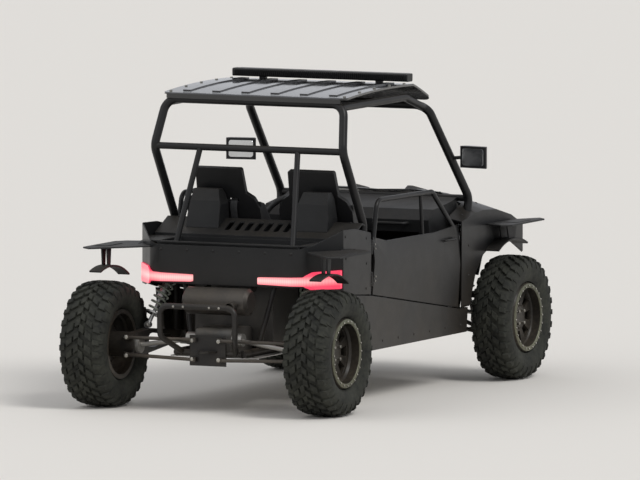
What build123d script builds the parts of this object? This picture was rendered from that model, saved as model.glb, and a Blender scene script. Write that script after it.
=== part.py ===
"""A two-seat sport buggy with a tube cage: body, cabin, running gear, steered wheels and two half doors."""

import os
from math import cos, radians, sin

from build123d import *

# Overall sizes in mm, with +Y forward, +X to the right and the ground at z = 0
WHEELBASE = 2440
FRONT_TRACK = 1400
REAR_TRACK = 1370
TYRE_RADIUS = 352
FRONT_TYRE_WIDTH = 230
REAR_TYRE_WIDTH = 270
FRONT_OVERHANG = 430
BODY_HALF = 620
CAGE_HALF = 545
ROOF_Z = 1690
FRAME_Z = 330

# Tube radii and clearances
CAGE_TUBE = 24
RAIL = 22
BRACE = 16
FIT = 0.3
SKIN = 8
DOOR_GAP = 7

# Stations along the body, measured from the axles
LENGTH = WHEELBASE + FRONT_OVERHANG + TYRE_RADIUS
REAR = TYRE_RADIUS - LENGTH / 2
FRONT = REAR + WHEELBASE
HUB_Z = TYRE_RADIUS
TAIL = REAR + 150
HOOP = REAR + 515
BULKHEAD = REAR + 620
HEADER = FRONT - 850
COWL = FRONT - 335
KINK = REAR + 425
CORNER = REAR + 350
FOOT = FRONT - 490
NOSE = FRONT + 330
SIDE_X = 560
MAIN_X = 200
FENDER_X = BODY_HALF + 12
COWL_Z = 1050
KINK_Z = 1430
HEADER_Z = ROOF_Z - 80
TOWER_Z = 824
BED_RAIL_X = 530
BED_RAIL_Z = 812
FLOOR_Z = FRAME_Z + RAIL + FIT
SKID_Z = FRAME_Z - RAIL - FIT
PAN = 6
ARCH_SKIN = 9

# Wheels and hubs
BEAD = 178
FLANGE = 195
BARREL = 160
RIM_EDGE = 90
KINGPIN_INSET = 80
STEER_ARM = 100
CV_BALL = 42
DISC_RADIUS = 115


def block(x0, x1, y0, y1, z0, z1):
    return Pos((x0 + x1) / 2, (y0 + y1) / 2, (z0 + z1) / 2) * Box(x1 - x0, y1 - y0, z1 - z0)


def rod(a, b, radius):
    a, b = Vector(*a), Vector(*b)
    up = (Align.CENTER, Align.CENTER, Align.MIN)
    return Plane(origin=a, z_dir=b - a) * Cylinder(radius, (b - a).length, align=up)


def bent(points, radius, bend):
    path = FilletPolyline(*points, radius=bend)
    return sweep(Plane(origin=path @ 0, z_dir=path % 0) * Circle(radius), path=path)


def arc_middle(corner, a, b, bend):
    """The middle of the bend that rounds a corner between two straight tubes."""
    corner = Vector(*corner)
    u, v = (Vector(*a) - corner).normalized(), (Vector(*b) - corner).normalized()
    half = radians(u.get_angle(v) / 2)
    middle = corner + (u + v).normalized() * (bend / sin(half) - bend)
    return (middle.X, middle.Y, middle.Z)


def side_plate(points, x0, x1):
    return extrude(Plane.YZ.offset(x0) * Polygon(*points, align=None), amount=x1 - x0, dir=(1, 0, 0))


def end_plate(points, y0, y1):
    return extrude(Plane.XZ.offset(-y0) * Polygon(*points, align=None), amount=y1 - y0, dir=(0, 1, 0))


def flat_plate(points, z0, z1):
    return extrude(Pos(0, 0, z0) * Polygon(*points, align=None), amount=z1 - z0, dir=(0, 0, 1))


def turned(profile):
    """A solid turned about the X axis from (x, radius) points."""
    return revolve(Plane.XZ * Polygon(*profile, align=None), axis=Axis.X)


def facets(grid, shift):
    """A folded panel: rows of corner points, and the same rows moved by the shift, closed round the edge."""
    top = [[Vector(*p) for p in row] for row in grid]
    low = [[p + Vector(*shift) for p in row] for row in top]
    faces = []

    def cell(a, b, c, d):
        level = abs((b - a).cross(c - a).dot(d - a)) < 1e-6
        for corners in [(a, b, c, d)] if level else [(a, b, c), (a, c, d)]:
            faces.append(Face(Wire.make_polygon(corners, close=True)))

    rows, columns = len(grid), len(grid[0])
    for i in range(rows - 1):
        for j in range(columns - 1):
            for sheet in (top, low):
                cell(sheet[i][j], sheet[i][j + 1], sheet[i + 1][j + 1], sheet[i + 1][j])
    for i in range(rows - 1):
        for j in (0, columns - 1):
            cell(top[i][j], top[i + 1][j], low[i + 1][j], low[i][j])
    for j in range(columns - 1):
        for i in (0, rows - 1):
            cell(top[i][j], top[i][j + 1], low[i][j + 1], low[i][j])
    return Part() + Solid(Shell(faces))


def rounded(part, axis, radius):
    """A part with its straight edges along one axis rounded."""
    return fillet(part.edges().filter_by(axis), radius)


def plan_strip(line, out, depth, z0, z1):
    """An upright wall along a line of (x, y) points and its mirror image, from out behind to depth ahead."""
    line = [(-x, y) for x, y in reversed(line) if x > 0] + line
    back = [(x, y - out) for x, y in line]
    ahead = [(x, y + depth) for x, y in reversed(line)]
    return flat_plate(back + ahead, z0, z1)


def arch(y, radius, y0, y1, x0, x1):
    """A strip bent round a hub above a wheel, between two distances from the hub."""
    ring = Circle(radius + ARCH_SKIN) - Circle(radius)
    ring = ring & Polygon((y0, 100), (y1, 100), (y1, 600), (y0, 600), align=None)
    return extrude(Plane.YZ.offset(x0) * Pos(y, HUB_Z) * ring, amount=x1 - x0, dir=(1, 0, 0))


def other_side(part):
    return mirror(part, about=Plane.YZ)


def both(part):
    return [part, other_side(part)]


def save(name, *parts):
    solids = [s for part in parts for s in part.solids()]
    export_step(Compound(solids), f"parts/{name}.step")


def flipped(points):
    """The left-hand copies of flat points, in return order, so that both together close an outline."""
    return [(-x, v) for x, v in reversed(points)]


def mirrored(points):
    """The points of a right-hand tube followed by their left-hand copies in return order."""
    return points + [(-x, y, z) for x, y, z in reversed(points)]


os.makedirs("parts", exist_ok=True)

# Roll cage: two hoops, the roof rails between them and the rear braces
HOOP_BEND = 80
FRAME_FRONT = FRONT + 250
FRAME_REAR = REAR - 80
CROSS_TUBES = (
    (FOOT, SIDE_X),
    ((FOOT + BULKHEAD) / 2, SIDE_X),
    (BULKHEAD, SIDE_X),
    (FRAME_FRONT, MAIN_X),
    (FRAME_REAR, MAIN_X),
)
SHOULDER_X = SIDE_X + 20
rear_hoop_side = [
    (SIDE_X, BULKHEAD + 45, FRAME_Z),
    (SHOULDER_X, BULKHEAD + 75, 1010),
    (SHOULDER_X, KINK, KINK_Z),
    (CAGE_HALF, HOOP, ROOF_Z),
]
front_hoop_side = [
    (SIDE_X, FOOT, FRAME_Z),
    (SIDE_X + 25, COWL, COWL_Z),
    (CAGE_HALF + 13, HEADER, HEADER_Z),
]
side_rail_line = [(SIDE_X, BULKHEAD, FRAME_Z), (SIDE_X, FOOT + 20, FRAME_Z)]
cowl_corner = arc_middle(front_hoop_side[1], front_hoop_side[0], front_hoop_side[2], HOOP_BEND)
cowl_bar_line = mirrored([cowl_corner])
kink_corner = arc_middle(rear_hoop_side[2], rear_hoop_side[1], rear_hoop_side[3], HOOP_BEND)
kink_bar_line = mirrored([kink_corner])


def hoop(side, bar_line, extra=0):
    """A bent hoop with a straight bar between its bends."""
    return rod(*bar_line, RAIL - 3 + extra) + bent(mirrored(side), CAGE_TUBE + extra, HOOP_BEND)


def ladder(extra=0):
    """The rails and cross tubes under the floor."""
    rail = rod(*side_rail_line, RAIL + extra)
    tubes = rail + other_side(rail)
    for x in (-MAIN_X, MAIN_X):
        tubes += rod((x, FRAME_REAR, FRAME_Z), (x, FRAME_FRONT, FRAME_Z), RAIL + extra)
    for y, half in CROSS_TUBES:
        tubes += rod((-half, y, FRAME_Z), (half, y, FRAME_Z), RAIL - 3 + extra)
    return tubes


ladder_room = ladder(FIT)
rear_hoop_room = hoop(rear_hoop_side, kink_bar_line, FIT)
front_hoop_room = hoop(front_hoop_side, cowl_bar_line, FIT)
save("cage_rear_hoop", hoop(rear_hoop_side, kink_bar_line) - ladder_room)
save("cage_front_hoop", hoop(front_hoop_side, cowl_bar_line) - ladder_room)

ROOF_RAIL = RAIL - 1
rail_start = arc_middle(rear_hoop_side[3], rear_hoop_side[2], (0, HOOP, ROOF_Z), HOOP_BEND)
rail_end = arc_middle(front_hoop_side[2], front_hoop_side[1], (0, HEADER, HEADER_Z), HOOP_BEND)
rail_knee = (rail_start[0] + 14, HEADER - 260, ROOF_Z - 17)
roof_rail_room = bent([rail_start, rail_knee, rail_end], ROOF_RAIL + FIT, 120)
roof_rail = bent([rail_start, rail_knee, rail_end], ROOF_RAIL, 120) - rear_hoop_room - front_hoop_room
cross_y = rail_knee[1] - 300
roof_cross = rod((-rail_knee[0], cross_y, rail_knee[2]), (rail_knee[0], cross_y, rail_knee[2]), BRACE)
roof_cross = roof_cross - roof_rail_room - other_side(roof_rail_room)
save("cage_roof_rails", *both(roof_rail), roof_cross)

# A loop of tube round the cargo bed, with swept rear corners, and the braces from the kink bar down to it
BED_REAR = REAR + 210
BED_CORNER_X = BED_RAIL_X - 100
bed_loop_side = [
    (BED_RAIL_X, BULKHEAD + 5, BED_RAIL_Z),
    (BED_RAIL_X, REAR + 295, BED_RAIL_Z),
    (BED_CORNER_X, BED_REAR, BED_RAIL_Z),
]


def bed_loop(extra=0):
    return bent(mirrored(bed_loop_side), RAIL - 3 + extra, 40)


brace_line = [(300, kink_corner[1], kink_corner[2]), (BED_CORNER_X - 60, BED_REAR, BED_RAIL_Z)]
rear_brace = rod(*brace_line, BRACE) - rear_hoop_room - bed_loop(FIT)
save("cage_rear_braces", *both(rear_brace))

# Lower frame: a ladder of rails with lugs for the lower arms, and the plate for the rear links and the hitch
LINK_PLATE = 110
ARM_REACH = 170
EYE = 20
EYE_HALF = 28
LUG = 6
lower_in_x = MAIN_X + RAIL + EYE + FIT
HITCH_Y = FRAME_REAR - 75
HITCH_HOLE = 9.6
plate_front, plate_rear = FRAME_REAR - 15, FRAME_REAR - 27
chassis = ladder() + block(-LINK_PLATE, LINK_PLATE, plate_rear, plate_front, FRAME_Z - 70, FRAME_Z + 100)
for y in (FRONT - ARM_REACH, FRONT + ARM_REACH):
    for low in (y - EYE_HALF - FIT - LUG, y + EYE_HALF + FIT):
        lug = block(MAIN_X + BRACE, lower_in_x + EYE - 4, low, low + LUG, FRAME_Z - 18, FRAME_Z + 18)
        chassis += lug + other_side(lug)
hitch = flat_plate(
    [(-60, plate_rear + 2), (60, plate_rear + 2), (32, HITCH_Y - 12), (16, HITCH_Y - 28),
     (-16, HITCH_Y - 28), (-32, HITCH_Y - 12)],
    FRAME_Z + 5, FRAME_Z + 15,
)
hitch = hitch - rod((0, HITCH_Y, FRAME_Z), (0, HITCH_Y, FRAME_Z + 30), HITCH_HOLE)
save("chassis_frame", chassis + hitch)

# Front frame: uprights, upper rails and the bar that holds the front shocks
UPRIGHT_FRONT = FRONT + 200
UPRIGHT_REAR = FRONT - 170
TOWER_Y = FRONT + 125
ARM_RAIL_Z = 470
front_side = Part()
upper_in_x = MAIN_X + BRACE - 2 + 17 + FIT
UPPER_REACH = 60
UPPER_EYE_HALF = 25
for a, b, radius in (
    ((MAIN_X, UPRIGHT_FRONT, FRAME_Z), (MAIN_X, TOWER_Y, TOWER_Z), BRACE - 1),
    ((MAIN_X, UPRIGHT_REAR, FRAME_Z), (MAIN_X, UPRIGHT_REAR, TOWER_Z + 16), BRACE),
    ((MAIN_X, TOWER_Y, TOWER_Z), (MAIN_X, UPRIGHT_REAR, TOWER_Z + 16), BRACE - 2),
    ((MAIN_X, UPRIGHT_REAR, TOWER_Z + 16), (MAIN_X + 60, cowl_corner[1], cowl_corner[2]), BRACE - 1),
    ((MAIN_X, UPRIGHT_FRONT - 21, ARM_RAIL_Z), (MAIN_X, UPRIGHT_REAR, ARM_RAIL_Z), BRACE - 2),
):
    front_side += rod(a, b, radius)
for y in (FRONT - UPPER_REACH, FRONT + UPPER_REACH):
    for low in (y - UPPER_EYE_HALF - FIT - LUG, y + UPPER_EYE_HALF + FIT):
        front_side += block(MAIN_X, upper_in_x + 13, low, low + LUG, ARM_RAIL_Z - 15, ARM_RAIL_Z + 15)
front_frame = front_side + other_side(front_side)
front_frame += rod((-330, TOWER_Y, TOWER_Z), (330, TOWER_Y, TOWER_Z), BRACE + 1)
front_frame += rod((-MAIN_X, UPRIGHT_REAR, TOWER_Z + 16), (MAIN_X, UPRIGHT_REAR, TOWER_Z + 16), BRACE - 3)
front_frame = front_frame - ladder_room - front_hoop_room
save("front_frame", front_frame)

# Rear frame: the bed loop, cross tubes, and the legs down to the lower rails
SHOCK_BAR_Y = REAR + 330
leg_line = [(MAIN_X, REAR + 120, FRAME_Z), (MAIN_X + 100, BED_REAR, BED_RAIL_Z)]
leg = rod(*leg_line, BRACE - 1)
rear_frame = bed_loop() + leg + other_side(leg)
rear_frame += rod((-BED_RAIL_X, SHOCK_BAR_Y, BED_RAIL_Z), (BED_RAIL_X, SHOCK_BAR_Y, BED_RAIL_Z), BRACE)
pillar_x, pillar_y = SIDE_X + 14, BULKHEAD + 15
rear_frame += rod((-pillar_x, pillar_y, BED_RAIL_Z), (pillar_x, pillar_y, BED_RAIL_Z), BRACE)
rear_frame = rear_frame - ladder_room - rear_hoop_room
save("rear_frame", rear_frame)

# Skid plate under the whole frame
skid_side = [
    (225, FRAME_FRONT - 30),
    (260, FOOT + 30),
    (530, FOOT - 20),
    (530, BULKHEAD + 30),
    (260, BULKHEAD - 20),
    (260, FRAME_REAR + 40),
]
save("skid_plate", flat_plate(skid_side + flipped(skid_side), SKID_Z - PAN, SKID_Z))

# Cabin tub: floor, tunnel with the shift lever, firewall behind the seats, sloping toe board and two pedals
TUB_HALF = SIDE_X - CAGE_TUBE - 8
TUB_REAR = BULKHEAD + 75
TOE_Y = FOOT + 60
toe_front, toe_top = FOOT - 20, 760
tunnel_half, tunnel_top = 54, 470
tub = block(-TUB_HALF, TUB_HALF, TUB_REAR, toe_front, FLOOR_Z, FLOOR_Z + PAN)
toe_board = [(toe_front - PAN, FLOOR_Z), (toe_front, FLOOR_Z), (TOE_Y, toe_top), (TOE_Y - PAN, toe_top)]
tub += side_plate(toe_board, -TUB_HALF, TUB_HALF)
tub += block(-TUB_HALF, TUB_HALF, TUB_REAR, TUB_REAR + PAN, FLOOR_Z, 1000)
tunnel = side_plate(
    [(TUB_REAR, FLOOR_Z), (toe_front - 1, FLOOR_Z), (FOOT - 10, tunnel_top), (TUB_REAR, tunnel_top)],
    -tunnel_half, tunnel_half,
)
tub += rounded(tunnel, Axis.Y, 14)
lever_foot, lever_top = (0, HEADER - 190, tunnel_top - 5), (0, HEADER - 225, tunnel_top + 150)
tub += rod(lever_foot, lever_top, 8) + Pos(*lever_top) * Sphere(19)
for x, z in ((-225, 520), (-140, 500)):
    tub += rounded(block(x - 30, x + 30, FOOT - 75, FOOT - 67, z - 35, z + 35), Axis.Y, 10)
    tub += rod((x, FOOT - 71, z), (x, FOOT + 38, z + 130), 8)
wheel_x = -285
column_top = (wheel_x, HEADER - 5, 896)
column_knee = (wheel_x, FOOT + 20, 720)
rack_y, rack_z = FRONT - 125, 380
column_foot = (-120, rack_y, rack_z + 30)
column_room = rod(column_top, column_knee, 20) + rod(column_knee, column_foot, 20)
tub = tub - column_room - Pos(*column_knee) * Sphere(26)
save("cabin_tub", tub)

# Dashboard: a folded board with knee recesses, a console, a grab bar and a hood over the gauges
DASH_HALF = TUB_HALF - 5
dash_face_y = cowl_corner[1] - RAIL + 3 - FIT
dash_side = [
    (HEADER + 120, 800),
    (HEADER + 105, 950),
    (HEADER + 180, 1005),
    (COWL - 90, 1035),
    (dash_face_y, COWL_Z + 2),
    (dash_face_y, 985),
    (HEADER + 300, 800),
]
dashboard = side_plate(dash_side, -DASH_HALF, DASH_HALF)
knee_side = [(HEADER + 90, 780), (HEADER + 330, 780), (HEADER + 170, 880), (HEADER + 90, 880)]
knee_room = side_plate(knee_side, 110, 460)
dashboard = dashboard - knee_room - other_side(knee_room)
console = [
    (HEADER + 150, 790),
    (HEADER + 70, 790),
    (HEADER + 60, 900),
    (HEADER + 100, 965),
    (HEADER + 150, 985),
]
dashboard += side_plate(console, -85, 85)
binnacle = [
    (HEADER + 80, 960),
    (HEADER + 95, 1040),
    (HEADER + 220, 1030),
    (HEADER + 230, 1000),
    (HEADER + 110, 950),
]
dashboard += side_plate(binnacle, wheel_x - 110, wheel_x + 110)
grab_in, grab_out = HEADER + 112, HEADER + 60
grab = bent([(190, grab_in, 930), (190, grab_out, 930), (390, grab_out, 930), (390, grab_in, 930)], 9, 25)
save("dashboard", dashboard + grab - rod(column_top, column_knee, 24))

# Seats: shells with wide shoulders, a narrower head part, side bolsters and belt slots, on pedestals
SEAT_X = 285
SEAT_HALF = 225
HEAD_HALF = 150
SHELL = 28
BOLSTER = 30
SEAT_REAR = BULKHEAD + 300
SEAT_Z = 455


def seat_plane(lean):
    """The plane of a seat part that leans back from the hip point."""
    lean = radians(lean)
    return Plane(origin=(SEAT_X, SEAT_REAR, SEAT_Z), x_dir=(1, 0, 0), z_dir=(0, -sin(lean), cos(lean)))


def back_outline(half, waist, head, shoulder_z, head_z, top_z):
    """A seat back seen from the front, from the hips up to the head."""
    side = [
        (waist, 0),
        (half, 120),
        (half, shoulder_z - 60),
        (half - 30, shoulder_z),
        (head, head_z),
        (head - 8, top_z),
    ]
    return side + flipped(side)


back_plane, base_plane = seat_plane(17), seat_plane(7)
outline = Polygon(*back_outline(SEAT_HALF, SEAT_HALF - 25, HEAD_HALF, 715, 745, 890), align=None)
seat_back = extrude(Plane.XZ.offset(SHELL) * fillet(outline.vertices(), 14), amount=SHELL, dir=(0, 1, 0))
for x in (-70, 70):
    seat_back = seat_back - rounded(block(x - 32, x + 32, -60, 60, 690, 712), Axis.Y, 9)
back_wing = [(-10, 70), (40, 110), (92, 190), (95, 540), (40, 660), (-10, 690)]
bolster = side_plate(back_wing, SEAT_HALF - BOLSTER, SEAT_HALF)
seat_back += bolster + other_side(bolster)
seat_pan = rounded(block(-SEAT_HALF, SEAT_HALF, -20, 500, -30, 0), Axis.Z, 40)
pan_wing = [(40, -10), (60, 62), (300, 74), (450, 48), (480, -10)]
bolster = side_plate(pan_wing, SEAT_HALF - BOLSTER, SEAT_HALF)
seat_pan += bolster + other_side(bolster)
seat_shell = back_plane * seat_back + base_plane * seat_pan
pedestal = [(-150, 80), (150, 80), (120, 420), (-120, 420)]
pedestal = Pos(SEAT_X, SEAT_REAR, 0) * flat_plate(pedestal, FLOOR_Z + PAN + FIT, SEAT_Z - 5)
seat_shell += pedestal - block(SEAT_X - 90, SEAT_X + 90, SEAT_REAR, SEAT_REAR + 500, FLOOR_Z, SEAT_Z - 20)
save("seat_shells", *both(seat_shell))
CUSHION_HALF = SEAT_HALF - BOLSTER - 1
base_cushion = base_plane * block(-CUSHION_HALF, CUSHION_HALF, 105, 490, FIT, 90)
cushion_side = [(CUSHION_HALF, 100), (CUSHION_HALF, 600), (CUSHION_HALF - 40, 680)]
cushion_back = end_plate(cushion_side + flipped(cushion_side), FIT, 95)
back_cushion = back_plane * cushion_back
head_cushion = back_plane * block(20 - HEAD_HALF, HEAD_HALF - 20, FIT, 75, 735, 872)
for name, part in (("seat_base", base_cushion), ("seat_back", back_cushion), ("head_rest", head_cushion)):
    save(f"{name}_right", part)
    save(f"{name}_left", other_side(part))

# Roof panel: a crowned sheet with ribs and a lip behind the hoop, and the light bar on two feet
ROOF_HALF = 564
ROOF_SKIN = 12
roof_low = ROOF_Z + CAGE_TUBE + FIT
BAR_Y = HEADER - 190
BAR_TOP = ROOF_Z + 110
ROOF_FRONT = HEADER + 60
# the roof's top line: the start, middle and end of two arcs, run a little past the front edge that is cut later
ROOF_LINE = [
    (HOOP, roof_low + ROOF_SKIN),
    ((HOOP + BAR_Y) / 2, roof_low + 34),
    (BAR_Y, roof_low + 30),
    (HEADER - 50, HEADER_Z + 84),
    (ROOF_FRONT + 4, HEADER_Z + 34),
]


def roof_sheet(lift, depth):
    """The crowned sheet from side to side, its top raised by the lift and its underside a depth below."""
    high = [(y, z + lift) for y, z in ROOF_LINE]
    low = [(y, z - depth) for y, z in high]
    edges = [ThreePointArc(*line[i:i + 3]) for line in (high, low) for i in (0, 2)]
    edges += [Line(high[0], low[0]), Line(high[-1], low[-1])]
    return extrude(Plane.YZ.offset(-ROOF_HALF) * make_face(edges), amount=2 * ROOF_HALF, dir=(1, 0, 0))


roof_lip = [
    (HOOP - 31, roof_low - 20),
    (HOOP - 31, roof_low + 7),
    (HOOP - 20, roof_low + ROOF_SKIN),
    (HOOP + 4, roof_low + ROOF_SKIN),
    (HOOP + 4, roof_low + 3),
    (HOOP - 26, roof_low + 1),
    (HOOP - 26, roof_low - 20),
]
roof_panel = roof_sheet(0, ROOF_SKIN) + side_plate(roof_lip, -ROOF_HALF, ROOF_HALF)
for x in (-450, -270, -90, 90, 270, 450):
    rib = block(x - 24, x + 24, HOOP + 60, BAR_Y - 60, ROOF_Z, ROOF_Z + 100)
    roof_panel += roof_sheet(6, ROOF_SKIN) & rib
roof_plan = block(-ROOF_HALF, ROOF_HALF, HOOP - 31, ROOF_FRONT, ROOF_Z - 200, ROOF_Z + 200)
save("roof_panel", (roof_panel & rounded(roof_plan, Axis.Z, 50)) - rear_hoop_room)
light_bar = rounded(block(-543, 543, BAR_Y - 35, BAR_Y + 35, roof_low + 41, BAR_TOP), Axis.X, 10)
for x in (-360, 360):
    light_bar += block(x - 20, x + 20, BAR_Y - 25, BAR_Y - 2, roof_low, roof_low + 50)
save("light_bar", light_bar - roof_sheet(FIT, 80))

# Hood and front fenders, folded from flat facets over shared stations
# station: y, hood middle z, hood bulge z, seam z, shoulder top z, shoulder z, lip z
NOSE_TABLE = [
    (COWL - 10, 1080, 1086, 1077, 1016, 965, 625),
    (FRONT - 240, 1070, 1080, 1062, 1012, 975, 722),
    (FRONT - 60, 1030, 1044, 1022, 990, 965, 792),
    (FRONT + 140, 955, 970, 950, 935, 920, 772),
    (FRONT + 300, 872, 880, 866, 862, 855, 700),
]
SEAM_X = 400
hood_rows = []
for y, middle, bulge, seam, top, shoulder, low in NOSE_TABLE:
    half = [(120, bulge - 3), (260, bulge), (SEAM_X - FIT, seam)]
    hood_rows.append([(x, y, z) for x, z in flipped(half) + [(0, middle)] + half])
hood = facets(hood_rows, (0, 0, -SKIN))
strake = [
    (FRONT - 300, 1078),
    (FRONT - 250, 1098),
    (FRONT - 60, 1062),
    (FRONT + 140, 986),
    (FRONT + 200, 932),
    (FRONT + 140, 962),
    (FRONT - 60, 1037),
    (FRONT - 240, 1073),
]
strake = side_plate(strake, 165, 195)
hood += strake + other_side(strake)
for i in range(4):
    vent_y = FRONT - 190 + 42 * i
    hood = hood - block(-90, 90, vent_y, vent_y + 16, 900, 1200)
save("hood", hood - front_hoop_room)
fender_rows = []
for y, middle, bulge, seam, top, shoulder, low in NOSE_TABLE:
    fender_rows.append(
        [(SEAM_X + SKIN - 1, y, seam), (SIDE_X - 20, y, top), (FENDER_X, y, shoulder), (FENDER_X, y, low)]
    )
fender = facets(fender_rows, (-SKIN + 1, 0, -SKIN))
DOOR_FRONT = FOOT - 50
COWL_TABLE = [(DOOR_FRONT + DOOR_GAP, 950, 930, 452), (FOOT + 65, 985, 950, 452), (COWL - 10, 1016, 965, 625)]
cowl_rows = []
for y, top, shoulder, low in COWL_TABLE:
    cowl_rows.append([(SIDE_X - 20, y, top), (FENDER_X, y, shoulder), (FENDER_X, y, low)])
fender = fender + facets(cowl_rows, (-SKIN + 1, 0, -SKIN)) - front_hoop_room
save("front_fenders", *both(fender))

# Nose panel with an open grille, and headlamps let into it
# level: z, then how far each column stands ahead of the nose station
FASCIA_TABLE = [
    (864 - FIT - SKIN, -30, -32, -36, -50),
    (780, 16, 12, -6, -50),
    (660, 10, 2, -20, -70),
    (560, -50, -60, -80, -120),
]
fascia_columns = (0, 200, 320, 398)
fascia_rows = []
for z, *ahead in FASCIA_TABLE:
    half = list(zip(fascia_columns, ahead))
    fascia_rows.append([(x, NOSE + a, z) for x, a in flipped(half[1:]) + half])
fascia = facets(fascia_rows, (0, -SKIN, 0))
GRILLE_HALF, GRILLE_Z, GRILLE_PITCH, GRILLE_SLOTS, GRILLE_BAR = 185, 590, 32, 5, 8
for i in range(GRILLE_SLOTS):
    low = GRILLE_Z + GRILLE_PITCH * i
    slot = block(GRILLE_BAR, GRILLE_HALF, NOSE - 100, NOSE + 60, low, low + GRILLE_PITCH - GRILLE_BAR)
    fascia = fascia - slot - other_side(slot)
lamp_plan = [(225, NOSE - 60), (225, NOSE + 6), (310, NOSE - 4), (385, NOSE - 40), (385, NOSE - 60)]
lamp_room = [(224.5, NOSE - 80), (224.5, NOSE + 60), (385.5, NOSE + 60), (385.5, NOSE - 80)]
lamp_room = flat_plate(lamp_room, 775 - FIT, 835 + FIT)
fascia = fascia - lamp_room - other_side(lamp_room)
headlamp = flat_plate(lamp_plan, 775, 835)
save("front_fascia", fascia)
save("headlamps", *both(headlamp))

# Radiator behind the grille
radiator_low = FRAME_Z + RAIL - 3 + FIT
save("radiator", block(-MAIN_X + 20, MAIN_X - 20, FRAME_FRONT - 40, FRAME_FRONT - 4, radiator_low, 720))

# Front bumper hoop
BUMPER = 19
bumper_y = FRONT + FRONT_OVERHANG - BUMPER
bumper_side = [
    (MAIN_X - 60, FRAME_FRONT + 10, FRAME_Z),
    (MAIN_X + 20, bumper_y, 440),
    (MAIN_X + 40, bumper_y, 730),
]
front_bumper = bent(mirrored(bumper_side), BUMPER, 55)
front_bumper += rod((-MAIN_X - 25, bumper_y, 560), (MAIN_X + 25, bumper_y, 560), BRACE)
save("front_bumper", front_bumper - ladder_room)

# Fender flares: thin shelves over all four tyres, each with a strip bent round its wheel on two stays
FLARE_HALF = 790
FLARE_Z = 884
FLARE_SKIN = 9
FRONT_ARCH, REAR_ARCH = TYRE_RADIUS + 88, TYRE_RADIUS + 78


def flare(plan, y, radius, reach, x0, x1):
    """A shelf with the strip below it; reach is how far the strip goes behind and ahead of the hub."""
    part = flat_plate(plan, FLARE_Z, FLARE_Z + FLARE_SKIN) + arch(y, radius, -reach[0], reach[1], x0, x1)
    low = HUB_Z + radius + ARCH_SKIN - 7
    stay = [(y - 40, low), (y + 40, low), (y + 70, FLARE_Z + 4), (y - 70, FLARE_Z + 4)]
    for x in (x0 + 20, x1 - 20):
        part += side_plate(stay, x - 4, x + 4)
    return part


front_plan = [
    (FENDER_X + FIT, FRONT - 200),
    (FLARE_HALF - 50, FRONT - 240),
    (FLARE_HALF, FRONT - 190),
    (FLARE_HALF, FRONT + 250),
    (FLARE_HALF - 50, FRONT + 300),
    (FENDER_X + FIT, FRONT + 140),
]
# the tail's outline seen from above, on the right: flat middle, then a corner swept forward to the side
TAIL_LINE = [(400, REAR + 130), (480, REAR + 165), (BODY_HALF, CORNER)]
rear_plan = [
    (480, REAR + 164.5),
    (BODY_HALF, CORNER - 0.5),
    (BODY_HALF + FIT, CORNER),
    (BODY_HALF + FIT, CORNER + 100),
    (FLARE_HALF - 50, CORNER + 60),
    (FLARE_HALF, CORNER),
    (FLARE_HALF, REAR - 60),
    (FLARE_HALF - 60, REAR - 110),
]
front_flare = flare(front_plan, FRONT, FRONT_ARCH, (210, 180), FENDER_X + FIT, 718)
rear_flare = flare(rear_plan, REAR, REAR_ARCH, (140, 225), 560, 712)
save("fender_flares", *both(front_flare), *both(rear_flare))

# Rocker panels with a top edge that rises to the rear
SILL_FRONT_Z = 438
SILL_REAR_Z = 606
DOOR_REAR = BULKHEAD + 119
rocker_front = FOOT + 65
rocker_side = [
    (rocker_front - 15, 300),
    (rocker_front, SILL_FRONT_Z),
    (DOOR_FRONT, SILL_FRONT_Z),
    (DOOR_REAR, SILL_REAR_Z),
    (BULKHEAD - 100, SILL_REAR_Z + 20),
    (BULKHEAD - 60, 400),
    (BULKHEAD + 20, 300),
]
rocker = side_plate(rocker_side, SIDE_X + RAIL + FIT, BODY_HALF)
save("rocker_panels", *both(rocker - rear_hoop_room - front_hoop_room))

# Half doors: a creased skin, an open tube frame above it and hinge barrels at the rear
DOOR_SKIN_X = BODY_HALF - 2
DOOR_SKIN = 10
door_low_front, door_low_rear = SILL_FRONT_Z + DOOR_GAP, SILL_REAR_Z + DOOR_GAP
# station: y, crease z, top z
DOOR_TABLE = [
    (DOOR_FRONT, 690, 915),
    (HEADER, 725, 895),
    (DOOR_REAR + 200, 780, 900),
    (DOOR_REAR + 12, 800, 935),
]
door_rows = []
for y, crease, door_top in DOOR_TABLE:
    low = door_low_front + (door_low_rear - door_low_front) * (DOOR_FRONT - y) / (DOOR_FRONT - DOOR_REAR)
    columns = ((DOOR_SKIN_X - 5, low), (DOOR_SKIN_X + 9, crease), (DOOR_SKIN_X - 4, door_top))
    door_rows.append([(x, y, z) for x, z in columns])
door = facets(door_rows, (-DOOR_SKIN, 0, 0))
frame_x = DOOR_SKIN_X - 16
door_frame = [(DOOR_FRONT - 20, 880), (HEADER - 20, 1125), (DOOR_REAR + 90, 1135), (DOOR_REAR + 32, 880)]
door += bent([(frame_x, y, z) for y, z in door_frame], 14, 60)
DOOR_POST = HEADER - 150
door += rod((frame_x, DOOR_POST, 880), (frame_x, DOOR_POST - 30, 1128), 10)
HINGE_X, HINGE_Y, HINGE_R, HINGE_HALF = BODY_HALF - 7, DOOR_REAR - 8, 10, 22
HINGE_LEVELS = (700, 880)
for z in HINGE_LEVELS:
    door += rod((HINGE_X, HINGE_Y, z - HINGE_HALF), (HINGE_X, HINGE_Y, z + HINGE_HALF), HINGE_R)
    door += block(HINGE_X - 6, HINGE_X + 4, HINGE_Y, DOOR_REAR + 40, z - HINGE_HALF, z + HINGE_HALF)
save("door_right", door)
save("door_left", other_side(door))

# Rear side panels, folded along the flares, with hinge lugs for the doors
panel_front = HINGE_Y - 12
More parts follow.
